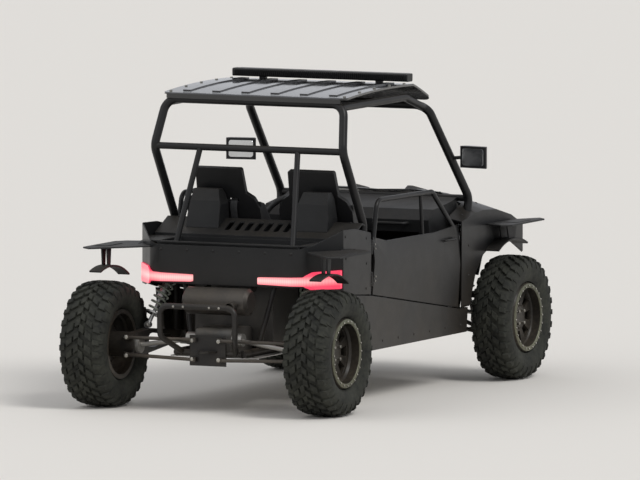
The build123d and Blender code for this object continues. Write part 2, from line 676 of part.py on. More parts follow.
# station: y, low z, top z
PANEL_TABLE = [
    (panel_front, SILL_REAR_Z + 10, 962),
    (BULKHEAD - 100, SILL_REAR_Z + 24, 998),
    (CORNER, 668, 1003),
]
panel_rows = []
for y, low, panel_top in PANEL_TABLE:
    panel_rows.append(
        [(BODY_HALF - 4, y, low), (BODY_HALF, y, FLARE_Z + FLARE_SKIN / 2), (BODY_HALF - 5, y, panel_top)]
    )
panel = facets(panel_rows, (-SKIN, 0, 0))
for z in HINGE_LEVELS:
    for low, high in ((z - 40, z - HINGE_HALF - 0.7), (z + HINGE_HALF + 0.7, z + 40)):
        panel += rod((HINGE_X, HINGE_Y, low), (HINGE_X, HINGE_Y, high), HINGE_R)
        panel += block(HINGE_X - 5, HINGE_X + 5, panel_front - 10, HINGE_Y, low, high)
save("rear_side_panels", *both(panel - rear_hoop_room))

# Cargo bed: an open tray with a rim that reaches the side panels and the swept corners
BED_HALF = BED_CORNER_X + 8
RIM_HALF = BODY_HALF - 11
TAIL_SKIN = 12
RIM_Z = 925
bed_low = BED_RAIL_Z + RAIL - 3 + FIT
bed_front, bed_rear = HOOP - 45, TAIL + 12 + FIT
bed_line = [(x, y + TAIL_SKIN + 1) for x, y in TAIL_LINE[:2]] + [(RIM_HALF, CORNER)]
bed_plan = bed_line + [(RIM_HALF, bed_front)]
bed = flat_plate(bed_plan + flipped(bed_plan), RIM_Z - 8, RIM_Z)
bed += block(-BED_HALF, BED_HALF, bed_rear, bed_front, bed_low, RIM_Z)
bed = bed - block(-BED_HALF + 8, BED_HALF - 8, bed_rear + 8, bed_front - 8, bed_low + 8, 1000)
for x in range(-360, 361, 80):
    bed = bed - block(x - 12, x + 12, bed_rear + 40, bed_front - 40, bed_low + 5, bed_low + 10)
BRACE_GAP = 3
brace_room = rod(*brace_line, BRACE + BRACE_GAP)
save("cargo_bed", bed - brace_room - other_side(brace_room))

# Engine cover: a sloping sheet with slots between the two air scoops that stand on it
COVER_HALF = BODY_HALF - 20
COVER_LINE = [(bed_front + FIT, 940), (BULKHEAD + 20, 1020), (TUB_REAR - FIT, 1004)]
cover_low = [(COVER_LINE[2][0], 994), (BULKHEAD + 20, 1010), (bed_front + 8, 932), (bed_front + 8, 840)]
cover = side_plate(COVER_LINE + cover_low + [(COVER_LINE[0][0], 840)], -COVER_HALF, COVER_HALF)
for x in range(-180, 181, 60):
    cover = cover - rounded(block(x - 16, x + 16, bed_front + 50, BULKHEAD - 10, 900, 1100), Axis.Z, 12)
save("engine_cover", cover - rear_hoop_room)
scoop_side = [
    (BULKHEAD - 90, 960),
    (BULKHEAD + 50, 960),
    (BULKHEAD + 44, 1150),
    (BULKHEAD + 20, 1185),
    (BULKHEAD - 30, 1185),
    (BULKHEAD - 60, 1120),
]
scoop_face = [(236, 900), (434, 900), (434, 1040), (412, 1186), (262, 1186), (236, 1100)]
scoop = side_plate(scoop_side, 236, 434) & end_plate(scoop_face, BULKHEAD - 100, BULKHEAD + 60)
scoop = scoop - block(262, 408, BULKHEAD - 20, BULKHEAD + 80, 1050, 1150)
under_cover = [(y, z + FIT + 0.1) for y, z in COVER_LINE]
under_cover = [(bed_front - 60, 905)] + under_cover + [(TUB_REAR, 800), (bed_front - 60, 800)]
save("air_scoops", *both(scoop - side_plate(under_cover, 200, 450)))

# Tail panel that sweeps round both corners, with lamps let into it: thin inboard, deep on the corner
tail_outline = [(540, 690), (566, 664), (BODY_HALF, 664), (BODY_HALF, 1003), (500, 925), (440, 906)]
tail_outline += flipped(tail_outline)
tail_panel = plan_strip(TAIL_LINE, 0, TAIL_SKIN, 600, 1100) & end_plate(tail_outline, REAR, CORNER - FIT)
lamp_face = Polygon(
    (202, 706), (470, 700), (500, 680), (BODY_HALF - 6, 678),
    (BODY_HALF - 6, 783), (505, 778), (465, 750), (202, 744), align=None,
)
lamp_face = fillet(lamp_face.vertices(), 5)


def lamp(face, out, depth):
    """What one lamp fills, or its room: the outline from behind within a strip along the tail."""
    length = CORNER - FIT - REAR
    outline = extrude(Plane.XZ.offset(-REAR) * face, amount=length, dir=(0, 1, 0))
    return plan_strip(TAIL_LINE, out, depth, 600, 1100) & outline


LAMP_OUT, LAMP_DEPTH = 18, 6
lamp_room = lamp(offset(lamp_face, amount=1), LAMP_OUT + 20, LAMP_DEPTH)
save("rear_fascia", tail_panel - lamp_room - other_side(lamp_room))
save("tail_lamps", *both(lamp(lamp_face, LAMP_OUT, LAMP_DEPTH - FIT)))

# Rear bumper loop
rear_bumper_side = [
    (MAIN_X - 40, FRAME_REAR, FRAME_Z),
    (MAIN_X + 30, REAR - 240, 430),
    (MAIN_X + 30, REAR - 240, 600),
]
save("rear_bumper", bent(mirrored(rear_bumper_side), BRACE, 50) - ladder_room)

# Engine, gear cases and muffler
save("engine_block", block(-250, 230, REAR + 260, BULKHEAD - 30, FRAME_Z + RAIL + FIT, 780))
CASE_HALF = 100
SHAFT_IN_Z = FRAME_Z + 72
front_case = block(-CASE_HALF, CASE_HALF, FRONT - 80, FRONT + 110, SKID_Z + FIT, SHAFT_IN_Z + 50)
rear_half = CASE_HALF + 10
rear_case = block(-rear_half, rear_half, FRAME_REAR + 45, REAR + 240, SKID_Z + FIT, SHAFT_IN_Z + 60)
save("gear_cases", rounded(front_case, Axis.X, 30), rounded(rear_case, Axis.X, 34))
MUFFLER_Y, MUFFLER_Z, MUFFLER_R = REAR + 40, 610, 76
can = [(0, 0), (200, 0), (200, MUFFLER_R - 18), (184, MUFFLER_R), (0, MUFFLER_R)]
can = Pos(0, MUFFLER_Y, MUFFLER_Z) * turned(can)
muffler = can + other_side(can)
pipe_line = [(120, MUFFLER_Y, MUFFLER_Z - 8), (120, REAR - 80, MUFFLER_Z - 22)]
muffler += rod(*pipe_line, 28)
muffler = muffler - rod((120, REAR - 30, MUFFLER_Z - 16.2), (120, REAR - 90, MUFFLER_Z - 23.2), 24)
hanger_top = BED_RAIL_Z - RAIL + 3 - FIT
hanger = [
    (REAR + 10, 665),
    (REAR + 60, 640),
    (BED_REAR + 12, 660),
    (BED_REAR + 12, hanger_top),
    (BED_REAR - 12, hanger_top),
    (BED_REAR - 12, 682),
]
for x in (-140, 140):
    muffler += side_plate(hanger, x - 5, x + 5)
save("muffler", muffler)

# Front suspension arms, two a side
kingpin_x = FRONT_TRACK / 2 - KINGPIN_INSET
LOWER_BALL_Z, UPPER_BALL_Z = HUB_Z - 95, HUB_Z + 95
lower_eye_z = LOWER_BALL_Z - 14
upper_eye_z = UPPER_BALL_Z + 14
lower_arm = rod((kingpin_x, FRONT, lower_eye_z - 13), (kingpin_x, FRONT, lower_eye_z + 13), EYE)
upper_arm = rod((kingpin_x, FRONT, upper_eye_z - 13), (kingpin_x, FRONT, upper_eye_z + 13), EYE - 2)
for s in (-1, 1):
    y = FRONT + s * ARM_REACH
    lower_arm += rod((lower_in_x, y, FRAME_Z), (kingpin_x, FRONT, lower_eye_z - 5), 12)
    lower_arm += rod((lower_in_x, y - EYE_HALF, FRAME_Z), (lower_in_x, y + EYE_HALF, FRAME_Z), EYE)
    y = FRONT + s * UPPER_REACH
    upper_arm += rod((upper_in_x, y, ARM_RAIL_Z), (kingpin_x, FRONT, upper_eye_z), 12)
    eye_ends = [(upper_in_x, y + reach, ARM_RAIL_Z) for reach in (-UPPER_EYE_HALF, UPPER_EYE_HALF)]
    upper_arm += rod(*eye_ends, 17)
# the tie between the lower arm's legs, a little above their middle lines
TIE_INSET = 150
TIE_RISE = 5
tie_x = kingpin_x - TIE_INSET
tie_share = TIE_INSET / (kingpin_x - lower_in_x)
tie_half = round(ARM_REACH * tie_share)
tie_z = round(lower_eye_z + (FRAME_Z + TIE_RISE - lower_eye_z) * tie_share)
lower_arm += rod((tie_x, FRONT - tie_half, tie_z), (tie_x, FRONT + tie_half, tie_z), 10)
save("front_arms", *both(lower_arm), *both(upper_arm))


def caliper(disc_x, y):
    """A brake caliper ahead of the hub that straddles the disc and joins the carrier inboard of it."""
    body = block(disc_x - 46, disc_x + 20, y + 58, y + 130, HUB_Z - 34, HUB_Z + 34)
    slot = block(disc_x - DISC_ROOM, disc_x + DISC_ROOM, y - 10, y + DISC_RADIUS + 6, HUB_Z - 60, HUB_Z + 60)
    return rounded(body, Axis.X, 12) - slot


# Trailing arms: open side frames with hub carriers and calipers, and the links behind them
DISC_ROOM = 9
DISC_INSET = 21
PIVOT_REACH = RAIL - 3 + 30 + FIT
pivot_y = BULKHEAD - PIVOT_REACH * cos(radians(36))
pivot_z = FRAME_Z + PIVOT_REACH * sin(radians(36))
ARM_IN, ARM_OUT = 478, 534
arm_side = [
    (pivot_y, pivot_z - 26),
    (pivot_y, pivot_z + 26),
    (REAR + 180, 430),
    (REAR, HUB_Z + 68),
    (REAR - 60, HUB_Z + 30),
    (REAR - 60, HUB_Z - 30),
    (REAR, HUB_Z - 68),
    (REAR + 200, 300),
]
arm_window = [
    (REAR + 130, 328),
    (REAR + 215, 322),
    (REAR + 440, 344),
    (REAR + 430, 376),
    (REAR + 190, 404),
    (REAR + 130, 398),
]
trailing_arm = side_plate(arm_side, ARM_IN, ARM_OUT)
trailing_arm = trailing_arm - rounded(side_plate(arm_window, ARM_IN - 5, ARM_OUT + 5), Axis.X, 12)
trailing_arm += rod((ARM_IN - 30, pivot_y, pivot_z), (ARM_OUT - 10, pivot_y, pivot_z), 30)
trailing_arm += rod((ARM_IN + 4, REAR, HUB_Z), (REAR_TRACK / 2 - 45, REAR, HUB_Z), 70)
trailing_arm = trailing_arm - rod((ARM_IN - 20, REAR, HUB_Z), (REAR_TRACK / 2 - 20, REAR, HUB_Z), 46)
LINK_Y = FRAME_REAR - 27 - 15 - FIT
link_ends = ((FRAME_Z - 35, HUB_Z - 48), (FRAME_Z + 75, HUB_Z + 48))
for inner_z, outer_z in link_ends:
    trailing_arm += block(ARM_IN + 4, ARM_OUT, REAR - 76, REAR - 40, outer_z - 12, outer_z + 12)
trailing_arm += caliper(REAR_TRACK / 2 - DISC_INSET, REAR)
save("trailing_arms", *both(trailing_arm))
link_x, link_y = ARM_IN + 30, REAR - 76 - 14 - FIT
links = []
for inner_z, outer_z in link_ends:
    link = rod((78, LINK_Y, inner_z), (link_x, link_y, outer_z), 10)
    link += rod((78, LINK_Y, inner_z - 12), (78, LINK_Y, inner_z + 12), 15)
    link += rod((link_x, link_y, outer_z - 12), (link_x, link_y, outer_z + 12), 14)
    links += both(link)
save("rear_links", *links)

# Shock absorbers with their springs, set between two points
def shock(low, high, spring_from, spring_to):
    """A damper with an eye at each end, and the sleeve that its spring fills."""
    a, b = Vector(*low), Vector(*high)
    way = (b - a).normalized()
    foot, head = a + (b - a) * spring_from, a + (b - a) * spring_to
    damper = rod(a, a + (b - a) * 0.6, 11) + rod(a + (b - a) * 0.45, b, 24)
    damper += rod(foot - way * 10, foot, 46) + rod(head, head + way * 10, 46)
    for end in (a, b):
        damper += rod((end.X, end.Y - 16, end.Z), (end.X, end.Y + 16, end.Z), 18)
    spring = rod(foot + way * FIT, head - way * FIT, 45)
    spring = spring - rod(a, b, 33)
    return damper, spring


arm_share = (430 - lower_in_x) / (kingpin_x - lower_in_x)
arm_top_z = FRAME_Z + (lower_eye_z - FRAME_Z) * arm_share + 15
front_low = (430, FRONT + ARM_REACH * (1 - arm_share), arm_top_z + 18)
front_high = (290, TOWER_Y, TOWER_Z - BRACE - 1 - 18 - FIT)
rear_low = (ARM_IN + 20, REAR + 170, 431 + 18 + FIT)
rear_high = (400, SHOCK_BAR_Y, BED_RAIL_Z - BRACE - 18 - FIT)
front_damper, front_spring = shock(front_low, front_high, 0.3, 0.86)
rear_damper, rear_spring = shock(rear_low, rear_high, 0.2, 0.85)
save("shock_absorbers", *both(front_damper), *both(rear_damper))
save("coil_springs", *both(front_spring), *both(rear_spring))

# Half shafts: the front ones end in a ball on the kingpin axis
shaft_in, shaft_ball = (CASE_HALF + FIT, FRONT, SHAFT_IN_Z), (kingpin_x, FRONT, HUB_Z)
front_shaft = rod((CASE_HALF + 10, FRONT, SHAFT_IN_Z), shaft_ball, 12) + Pos(*shaft_ball) * Sphere(CV_BALL)
front_shaft += rod(shaft_in, (CASE_HALF + 60, FRONT, SHAFT_IN_Z), 36)
rear_in, rear_out = (CASE_HALF + 10 + FIT, REAR, SHAFT_IN_Z), (ARM_IN - 10, REAR, HUB_Z)
rear_shaft = rod((CASE_HALF + 20, REAR, SHAFT_IN_Z), rear_out, 13)
rear_shaft += rod(rear_in, (CASE_HALF + 70, REAR, SHAFT_IN_Z), 36)
rear_shaft += rod((ARM_IN - 20, REAR, HUB_Z), (REAR_TRACK / 2 - 60, REAR, HUB_Z), 46 - FIT)
save("half_shafts", *both(front_shaft), *both(rear_shaft))

# Front knuckles: a ring round the ball, bosses for the arms, and the steering arm
knuckle = rod((kingpin_x - 20, FRONT, HUB_Z), (kingpin_x + 34, FRONT, HUB_Z), 74)
knuckle += rod((kingpin_x, FRONT, LOWER_BALL_Z), (kingpin_x, FRONT, HUB_Z - 50), 18)
knuckle += rod((kingpin_x, FRONT, HUB_Z + 50), (kingpin_x, FRONT, UPPER_BALL_Z), 16)
steer_arm_top = rack_z - 10 + FIT
knuckle += block(
    kingpin_x - 18, kingpin_x + 6, FRONT - STEER_ARM - 12, FRONT - 60, steer_arm_top - 12, steer_arm_top
)
knuckle = knuckle - Pos(kingpin_x, FRONT, HUB_Z) * Sphere(CV_BALL + 6)
knuckle = knuckle - rod((kingpin_x - 60, FRONT, HUB_Z), (kingpin_x + 60, FRONT, HUB_Z), 40)
knuckle += caliper(FRONT_TRACK / 2 - DISC_INSET, FRONT)
save("knuckle_right", knuckle)
save("knuckle_left", other_side(knuckle))

# Steering: rack housing with the column, the sliding rack with its tie rods, and the wheel
HOUSING = rack_z - FRAME_Z - RAIL - FIT
RACK = 11
housing = rod((-222, rack_y, rack_z), (222, rack_y, rack_z), HOUSING)
housing += rod(column_knee, column_foot, 11) + rod(column_top, column_knee, 14)
housing += Pos(*column_knee) * Sphere(17)
housing = housing - rod((-240, rack_y, rack_z), (240, rack_y, rack_z), RACK + 2)
save("steering_rack", housing)
rod_end_x = kingpin_x - 6
tie_rods = rod((-290, rack_y, rack_z), (290, rack_y, rack_z), RACK)
for s in (-1, 1):
    end = (s * rod_end_x, FRONT - STEER_ARM, rack_z)
    tie_rods += rod((s * 285, rack_y, rack_z), end, 8)
    tie_rods += rod((end[0], end[1], rack_z - 9), (end[0], end[1], rack_z + 9), 12)
save("tie_rods", tie_rods)
top, knee = Vector(*column_top), Vector(*column_knee)
column_way = (top - knee).normalized()
wheel_plane = Plane(origin=top + column_way * 1, x_dir=(1, 0, 0), z_dir=column_way)
RIM_R = 165
steering_wheel = wheel_plane * (Pos(0, 0, 24) * Torus(RIM_R, 14) + Pos(0, 0, 16) * Cylinder(38, 32))
for angle in (0, 180, 270):
    steering_wheel += wheel_plane * (Rot(0, 0, angle) * block(20, RIM_R - 2, -14, 14, 16, 24))
save("steering_wheel", steering_wheel)

# Mirrors on stalks from the windscreen pillars
pillar_share = (1300 - COWL_Z) / (HEADER_Z - COWL_Z)
pillar_low, pillar_high = Vector(*front_hoop_side[1]), Vector(*front_hoop_side[2])
mirror_root = pillar_low + (pillar_high - pillar_low) * pillar_share
mirror_y = mirror_root.Y - 20
housing_plan = [(632, mirror_y + 16), (812, mirror_y - 14), (800, mirror_y + 26), (660, mirror_y + 56)]
mirror_part = fillet(flat_plate(housing_plan, 1240, 1362).edges().filter_by(Axis.Z), 6)
mirror_part += rod((mirror_root.X, mirror_root.Y, 1290), (680, mirror_y + 30, 1300), 10)
save("mirrors", *both(mirror_part - front_hoop_room))

# Wheels: rims with spokes, hub and brake disc, and tyres
SPOKES = 8


def make_rim(half):
    outer = [
        (-half, BEAD - 8), (-half, FLANGE), (-half + 8, FLANGE), (-half + 10, BEAD), (-half + 40, BEAD),
        (-half + 52, BARREL + 8), (half - 52, BARREL + 8), (half - 40, BEAD), (half - 10, BEAD),
        (half - 8, FLANGE), (half, FLANGE + 2), (half + 9, FLANGE - 3), (half + 9, BEAD - 10),
    ]
    inner = [(half - 36, BEAD - 10), (half - 50, BARREL), (-half + 50, BARREL), (-half + 38, BEAD - 8)]
    rim = turned(outer + inner)
    face = turned([
        (28, 0), (50, 0), (50, 60), (42, 70), (46, BARREL + 4),
        (30, BARREL + 4), (22, 64), (22, 44), (-30, 40), (-30, 0),
    ])
    window = rounded(side_plate([(-17, 82), (17, 82), (31, 150), (-31, 150)], 0, 70), Axis.X, 6)
    for turn in range(SPOKES):
        face = face - Rot(turn * 360 / SPOKES, 0, 0) * window
    disc = Pos(-DISC_INSET, 0, 0) * turned([(-3, 30), (3, 30), (3, DISC_RADIUS), (-3, DISC_RADIUS)])
    return rim + face + disc


def make_tyre(width, half):
    bulge, edge = width / 2, half - 10 - FIT
    right = [
        (edge, BEAD + FIT), (edge, FLANGE + 3.5), (half + 6, FLANGE + 8),
        (bulge - 3, 240), (bulge, 275), (bulge - 3, 310),
        (bulge - 18, TYRE_RADIUS - 14), (bulge - 36, TYRE_RADIUS - 3), (bulge * 0.3, TYRE_RADIUS),
    ]
    return turned(right + [(-x, r) for x, r in reversed(right)])


# wheel: name, side, track, tyre width, rim half width, y
WHEELS = [
    ("front_right", 1, FRONT_TRACK, FRONT_TYRE_WIDTH, RIM_EDGE, FRONT),
    ("front_left", -1, FRONT_TRACK, FRONT_TYRE_WIDTH, RIM_EDGE, FRONT),
    ("rear_right", 1, REAR_TRACK, REAR_TYRE_WIDTH, RIM_EDGE + 15, REAR),
    ("rear_left", -1, REAR_TRACK, REAR_TYRE_WIDTH, RIM_EDGE + 15, REAR),
]
for name, side, track, width, half, y in WHEELS:
    for kind, part in (("rim", make_rim(half)), ("tyre", make_tyre(width, half))):
        part = Pos(track / 2, y, HUB_Z) * part
        save(f"{kind}_{name}", part if side > 0 else other_side(part))
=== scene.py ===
from math import asin, cos, exp, pi, radians, sin

import bmesh
import bpy
from mathutils import Matrix, Vector
from mathutils.bvhtree import BVHTree


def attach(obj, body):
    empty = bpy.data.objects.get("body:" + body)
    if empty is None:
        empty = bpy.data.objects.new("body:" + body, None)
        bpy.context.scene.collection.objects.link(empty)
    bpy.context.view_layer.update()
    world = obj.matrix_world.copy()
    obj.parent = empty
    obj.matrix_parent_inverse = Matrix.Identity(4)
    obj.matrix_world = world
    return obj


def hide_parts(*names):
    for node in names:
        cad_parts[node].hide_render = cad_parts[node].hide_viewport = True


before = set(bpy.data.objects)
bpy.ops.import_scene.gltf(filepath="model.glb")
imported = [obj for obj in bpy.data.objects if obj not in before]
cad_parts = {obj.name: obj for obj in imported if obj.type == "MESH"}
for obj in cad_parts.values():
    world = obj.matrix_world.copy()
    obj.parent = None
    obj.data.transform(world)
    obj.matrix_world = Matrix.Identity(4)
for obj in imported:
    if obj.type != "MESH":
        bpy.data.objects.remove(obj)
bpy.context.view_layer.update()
scene = bpy.context.scene

# Stations in metres, the same as the CAD model's
REAR, FRONT = -1.259, 1.181
HUB_Z = 0.352
TYRE_RADIUS = 0.352
HOOP_Y = REAR + 0.515
CORNER_Y = REAR + 0.350
BODY_HALF, FIT = 0.620, 0.0003
BAR_FACE, BAR_REAR, BAR_MIDDLE = 0.1765, 0.106, 1.7775
TAIL_LAMP_Z = 0.727
SEAT_X, SEAT_REAR_Y, SEAT_Z = 0.285, -0.339, 0.455
SEAM_X = 0.118

# the axes, and the ways in which rays are cast on the right
X_WAY, Y_WAY, Z_WAY = Vector((1, 0, 0)), Vector((0, 1, 0)), Vector((0, 0, 1))
INWARD, DOWN, UP, BACK, AHEAD = -X_WAY, -Z_WAY, Z_WAY, -Y_WAY, Y_WAY

# wheel: body word, side, middle x, y, tyre width, rim half width
WHEELS = (
    ("front_right", 1, 0.700, FRONT, 0.230, 0.090),
    ("front_left", -1, 0.700, FRONT, 0.230, 0.090),
    ("rear_right", 1, 0.685, REAR, 0.270, 0.105),
    ("rear_left", -1, 0.685, REAR, 0.270, 0.105),
)


class Value:
    """A socket that carries a number, with arithmetic that adds Math nodes."""

    def __init__(self, finish, socket):
        self.finish, self.socket = finish, socket

    def math(self, operation, *others):
        node = self.finish.node("ShaderNodeMath", [self, *others], operation=operation)
        return Value(self.finish, node.outputs[0])

    def __add__(self, other):
        return self.math("ADD", other)

    def __sub__(self, other):
        return self.math("SUBTRACT", other)

    def __rsub__(self, other):
        return (self * -1.0) + other

    def __mul__(self, other):
        return self.math("MULTIPLY", other)

    __radd__ = __add__
    __rmul__ = __mul__

    def size(self):
        return self.math("ABSOLUTE")

    def clamped(self):
        self.socket.node.use_clamp = True
        return self


class Finish:
    """A material with one shader and the nodes that vary it over the surface."""

    def __init__(self, name):
        self.material = bpy.data.materials.new(name)
        self.material.use_nodes = True
        self.tree = self.material.node_tree
        self.shader = self.tree.nodes["Principled BSDF"]
        self.place = self.node("ShaderNodeTexCoord").outputs["Object"]

    def node(self, kind, inputs=(), **settings):
        """A new node with its settings, whose inputs go by name or in their order."""
        node = self.tree.nodes.new(kind)
        for key, value in settings.items():
            setattr(node, key, value)
        pairs = inputs.items() if isinstance(inputs, dict) else enumerate(inputs)
        for key, value in pairs:
            self.feed(node.inputs[key], value)
        return node

    def feed(self, socket, value):
        if isinstance(value, Value):
            value = value.socket
        if isinstance(value, bpy.types.NodeSocket):
            self.tree.links.new(value, socket)
        else:
            socket.default_value = value

    def set(self, **sockets):
        for name, value in sockets.items():
            if isinstance(value, tuple) and len(value) == 3:
                value = (*value, 1.0)
            self.feed(self.shader.inputs[name.replace("_", " ")], value)
        return self

    def noise(self, scale, detail):
        inputs = {"Vector": self.place, "Scale": scale, "Detail": detail, "Roughness": 0.55}
        return Value(self, self.node("ShaderNodeTexNoise", inputs).outputs["Fac"])

    def ramp(self, value, low, high):
        """0 at low and 1 at high, either of which may be the larger."""
        inputs = {"Value": value, "From Min": low, "From Max": high}
        return Value(self, self.node("ShaderNodeMapRange", inputs, clamp=True).outputs["Result"])

    def mix(self, factor, a, b):
        a, b = ((*c, 1.0) if isinstance(c, tuple) else c for c in (a, b))
        return self.node("ShaderNodeMix", {0: factor, 6: a, 7: b}, data_type="RGBA").outputs[2]

    def along(self, axis):
        return Value(self, self.node("ShaderNodeSeparateXYZ", [self.place]).outputs[axis])

    def up(self):
        normal = self.node("ShaderNodeNewGeometry").outputs["Normal"]
        return Value(self, self.node("ShaderNodeSeparateXYZ", [normal]).outputs["Z"])

    def wave(self, axis, scale, distortion=0.0):
        inputs = {"Vector": self.place, "Scale": scale, "Distortion": distortion, "Detail": 1.0}
        return Value(self, self.node("ShaderNodeTexWave", inputs, bands_direction=axis).outputs["Fac"])

    def bump(self, height, strength, distance, normal=None):
        inputs = {"Height": height, "Strength": strength, "Distance": distance}
        if normal is not None:
            inputs["Normal"] = normal
        return self.set(Normal=self.node("ShaderNodeBump", inputs).outputs["Normal"])

    def rounded(self, radius):
        """Softens hard panel edges, and returns the normal."""
        return self.node("ShaderNodeBevel", {"Radius": radius}, samples=3).outputs["Normal"]

    def worn_edges(self, rounded):
        """Where the softened normal turns away from the flat one, broken up by noise."""
        flat = self.node("ShaderNodeNewGeometry").outputs["Normal"]
        node = self.node("ShaderNodeVectorMath", [rounded, flat], operation="DOT_PRODUCT")
        turn = self.ramp(1.0 - Value(self, node.outputs["Value"]), 0.02, 0.20)
        return turn * self.ramp(self.noise(24, 5), 0.42, 0.66)

    def dust(self, amount, top):
        """Dust in patches, thicker on faces that look up and near the ground."""
        patches = self.ramp(self.noise(3.1, 6), 0.38, 0.72)
        grit = self.ramp(self.noise(60, 4), 0.35, 0.7)
        low = self.ramp(self.along("Z"), top, 0.15)
        ledge = self.ramp(self.up(), 0.1, 0.95)
        return ((patches * 0.6 + grit * 0.25 + 0.15) * (low * 0.75 + ledge * 0.35) * amount).clamped()


# colour of the dust, gloss of clean paint and plastic, and how far patches stray from their colour
DUST, GLOSS, SHADE = (0.30, 0.235, 0.155), 0.28, 0.35


def dusty(name, colour, rough, grain, dust, top=0.9, metal=0.0, coat=0.0, edge=0.003):
    """A hard finish: colour in slow patches, grain of (scale, depth), dust up to a height, softened edges."""
    f = Finish(name)
    patches = f.ramp(f.noise(2.3, 5), 0.3, 0.7)
    darker, lighter = (tuple(c * share for c in colour) for share in (1 - SHADE, 1 + SHADE))
    base = f.mix(patches, darker, lighter)
    scale, depth = grain
    surface = f.noise(scale, 2)
    veil = f.dust(dust, top)
    soft = f.rounded(edge)
    rubbed = tuple(min(1.0, c * 2.2 + 0.03) for c in colour)
    scuffed = f.mix(f.worn_edges(soft) * 0.5, base, rubbed)
    f.set(
        Base_Color=f.mix(veil, scuffed, DUST), Metallic=(1.0 - veil) * metal if metal else 0.0,
        Roughness=(f.noise(14, 4) * 0.16 + (rough - 0.08) + veil * (0.85 - rough)).clamped(),
        Coat_Weight=coat, Coat_Roughness=0.08, Specular_IOR_Level=GLOSS,
    )
    return f.bump(surface, 0.35, depth, soft)


PAINT = dusty("black_powder_coat", (0.009, 0.009, 0.0095), 0.36, (420, 0.0004), 0.20)
BODY = dusty("black_body_plastic", (0.0095, 0.0097, 0.0102), 0.34, (900, 0.0002), 0.20, edge=0.005)
ROOF = dusty(
    "smooth_roof_plastic", (0.012, 0.0125, 0.0135), 0.16, (160, 0.00004), 0.05, top=0.2, coat=1.0, edge=0.006
)
TRIM = dusty("grained_trim_plastic", (0.014, 0.0143, 0.0147), 0.52, (1300, 0.0005), 0.24, edge=0.004)
SHELL = dusty("moulded_seat_shell", (0.012, 0.012, 0.0127), 0.42, (1100, 0.0004), 0.14, edge=0.008)
CLIP = dusty("moulded_clips", (0.013, 0.013, 0.013), 0.45, (900, 0.0002), 0.20, edge=0.001)
SCREEN = dusty(
    "dark_screen_glass", (0.004, 0.004, 0.005), 0.10, (400, 0.00005), 0.10, top=0.2, coat=1.0, edge=0.001
)
ALLOY = dusty("brushed_alloy", (0.42, 0.42, 0.41), 0.38, (260, 0.0003), 0.45, metal=1.0, edge=0.002)
STEEL = dusty("bare_steel", (0.30, 0.295, 0.28), 0.36, (300, 0.0003), 0.40, metal=1.0, edge=0.002)
DARK_STEEL = dusty(
    "heat_darkened_steel", (0.055, 0.051, 0.047), 0.40, (260, 0.0004), 0.35, metal=0.7, edge=0.002
)
SPRING = dusty("grey_green_spring", (0.20, 0.225, 0.185), 0.38, (500, 0.0003), 0.25, edge=0.001)
RIM = dusty("black_rim_paint", (0.012, 0.012, 0.012), 0.30, (700, 0.0002), 0.30, edge=0.002)
RING = dusty("olive_grey_ring", (0.115, 0.120, 0.085), 0.40, (500, 0.0003), 0.35, metal=0.4, edge=0.002)
CAST = dusty("cast_housing", (0.075, 0.075, 0.074), 0.55, (240, 0.0012), 0.45, metal=0.6, edge=0.004)
BUCKLE = dusty("black_oxide_steel", (0.035, 0.035, 0.036), 0.36, (500, 0.0003), 0.10, metal=0.8, edge=0.001)
BOLT = dusty("zinc_bolts", (0.32, 0.31, 0.28), 0.34, (900, 0.0002), 0.30, metal=1.0, edge=0.001)


def rubber():
    """Tyre rubber: dark, grey-green with dust between the lugs and on the side walls."""
    f = Finish("dusty_tyre_rubber")
    patches = f.ramp(f.noise(7, 6), 0.3, 0.75)
    fine = f.ramp(f.noise(45, 5), 0.35, 0.75)
    base = f.mix(patches, (0.0080, 0.0085, 0.0080), (0.015, 0.0165, 0.0145))
    veil = (patches * 0.20 + fine * 0.17).clamped()
    f.set(
        Base_Color=f.mix(veil, base, (0.105, 0.105, 0.078)),
        Roughness=(f.noise(20, 3) * 0.2 + 0.66).clamped(), Specular_IOR_Level=0.25,
    )
    return f.bump(f.noise(380, 4), 0.5, 0.0006, f.rounded(0.002))


def seat_cover():
    """Coarse woven cloth down a seat's middle, grained vinyl at its sides, and stitching along the seams."""
    f = Finish("seat_cloth_and_vinyl")
    weave = f.wave("X", 210, 0.6) * 0.5 + f.wave("Z", 210, 0.6) * 0.5
    aside = (f.along("X").size() - SEAT_X).size()
    side = f.ramp(aside, SEAM_X - 0.001, SEAM_X + 0.001)
    patches = f.ramp(f.noise(9, 5), 0.3, 0.72)
    yarn = f.mix(patches, (0.016, 0.016, 0.017), (0.030, 0.030, 0.031))
    cloth = f.mix(weave * 0.6, yarn, (0.060, 0.060, 0.062))
    vinyl = f.mix(patches, (0.012, 0.012, 0.0125), (0.020, 0.020, 0.021))
    run = f.along("Y") + f.along("Z")
    dashes = f.ramp((run * 110.0).math("FRACT"), 0.30, 0.36)
    stitch = f.ramp((aside - SEAM_X - 0.006).size(), 0.0014, 0.0008) * dashes
    dust = f.ramp(f.noise(5, 6), 0.45, 0.8) * f.ramp(f.up(), 0.2, 1.0) * 0.35
    cover = f.mix(stitch, f.mix(side, cloth, vinyl), (0.17, 0.17, 0.17))
    cloth_rough, vinyl_rough = 0.92 - weave * 0.15, f.noise(30, 4) * 0.2 + 0.38
    f.set(
        Base_Color=f.mix(dust, cover, DUST), Sheen_Weight=0.15, Sheen_Roughness=0.4,
        Roughness=(cloth_rough * (1.0 - side) + vinyl_rough * side).clamped(),
    )
    grain = f.noise(420, 3) * 0.45 + f.noise(30, 3) * 0.4
    return f.bump(weave * (1.0 - side) + grain * side + stitch * 1.5, 0.45, 0.0009)


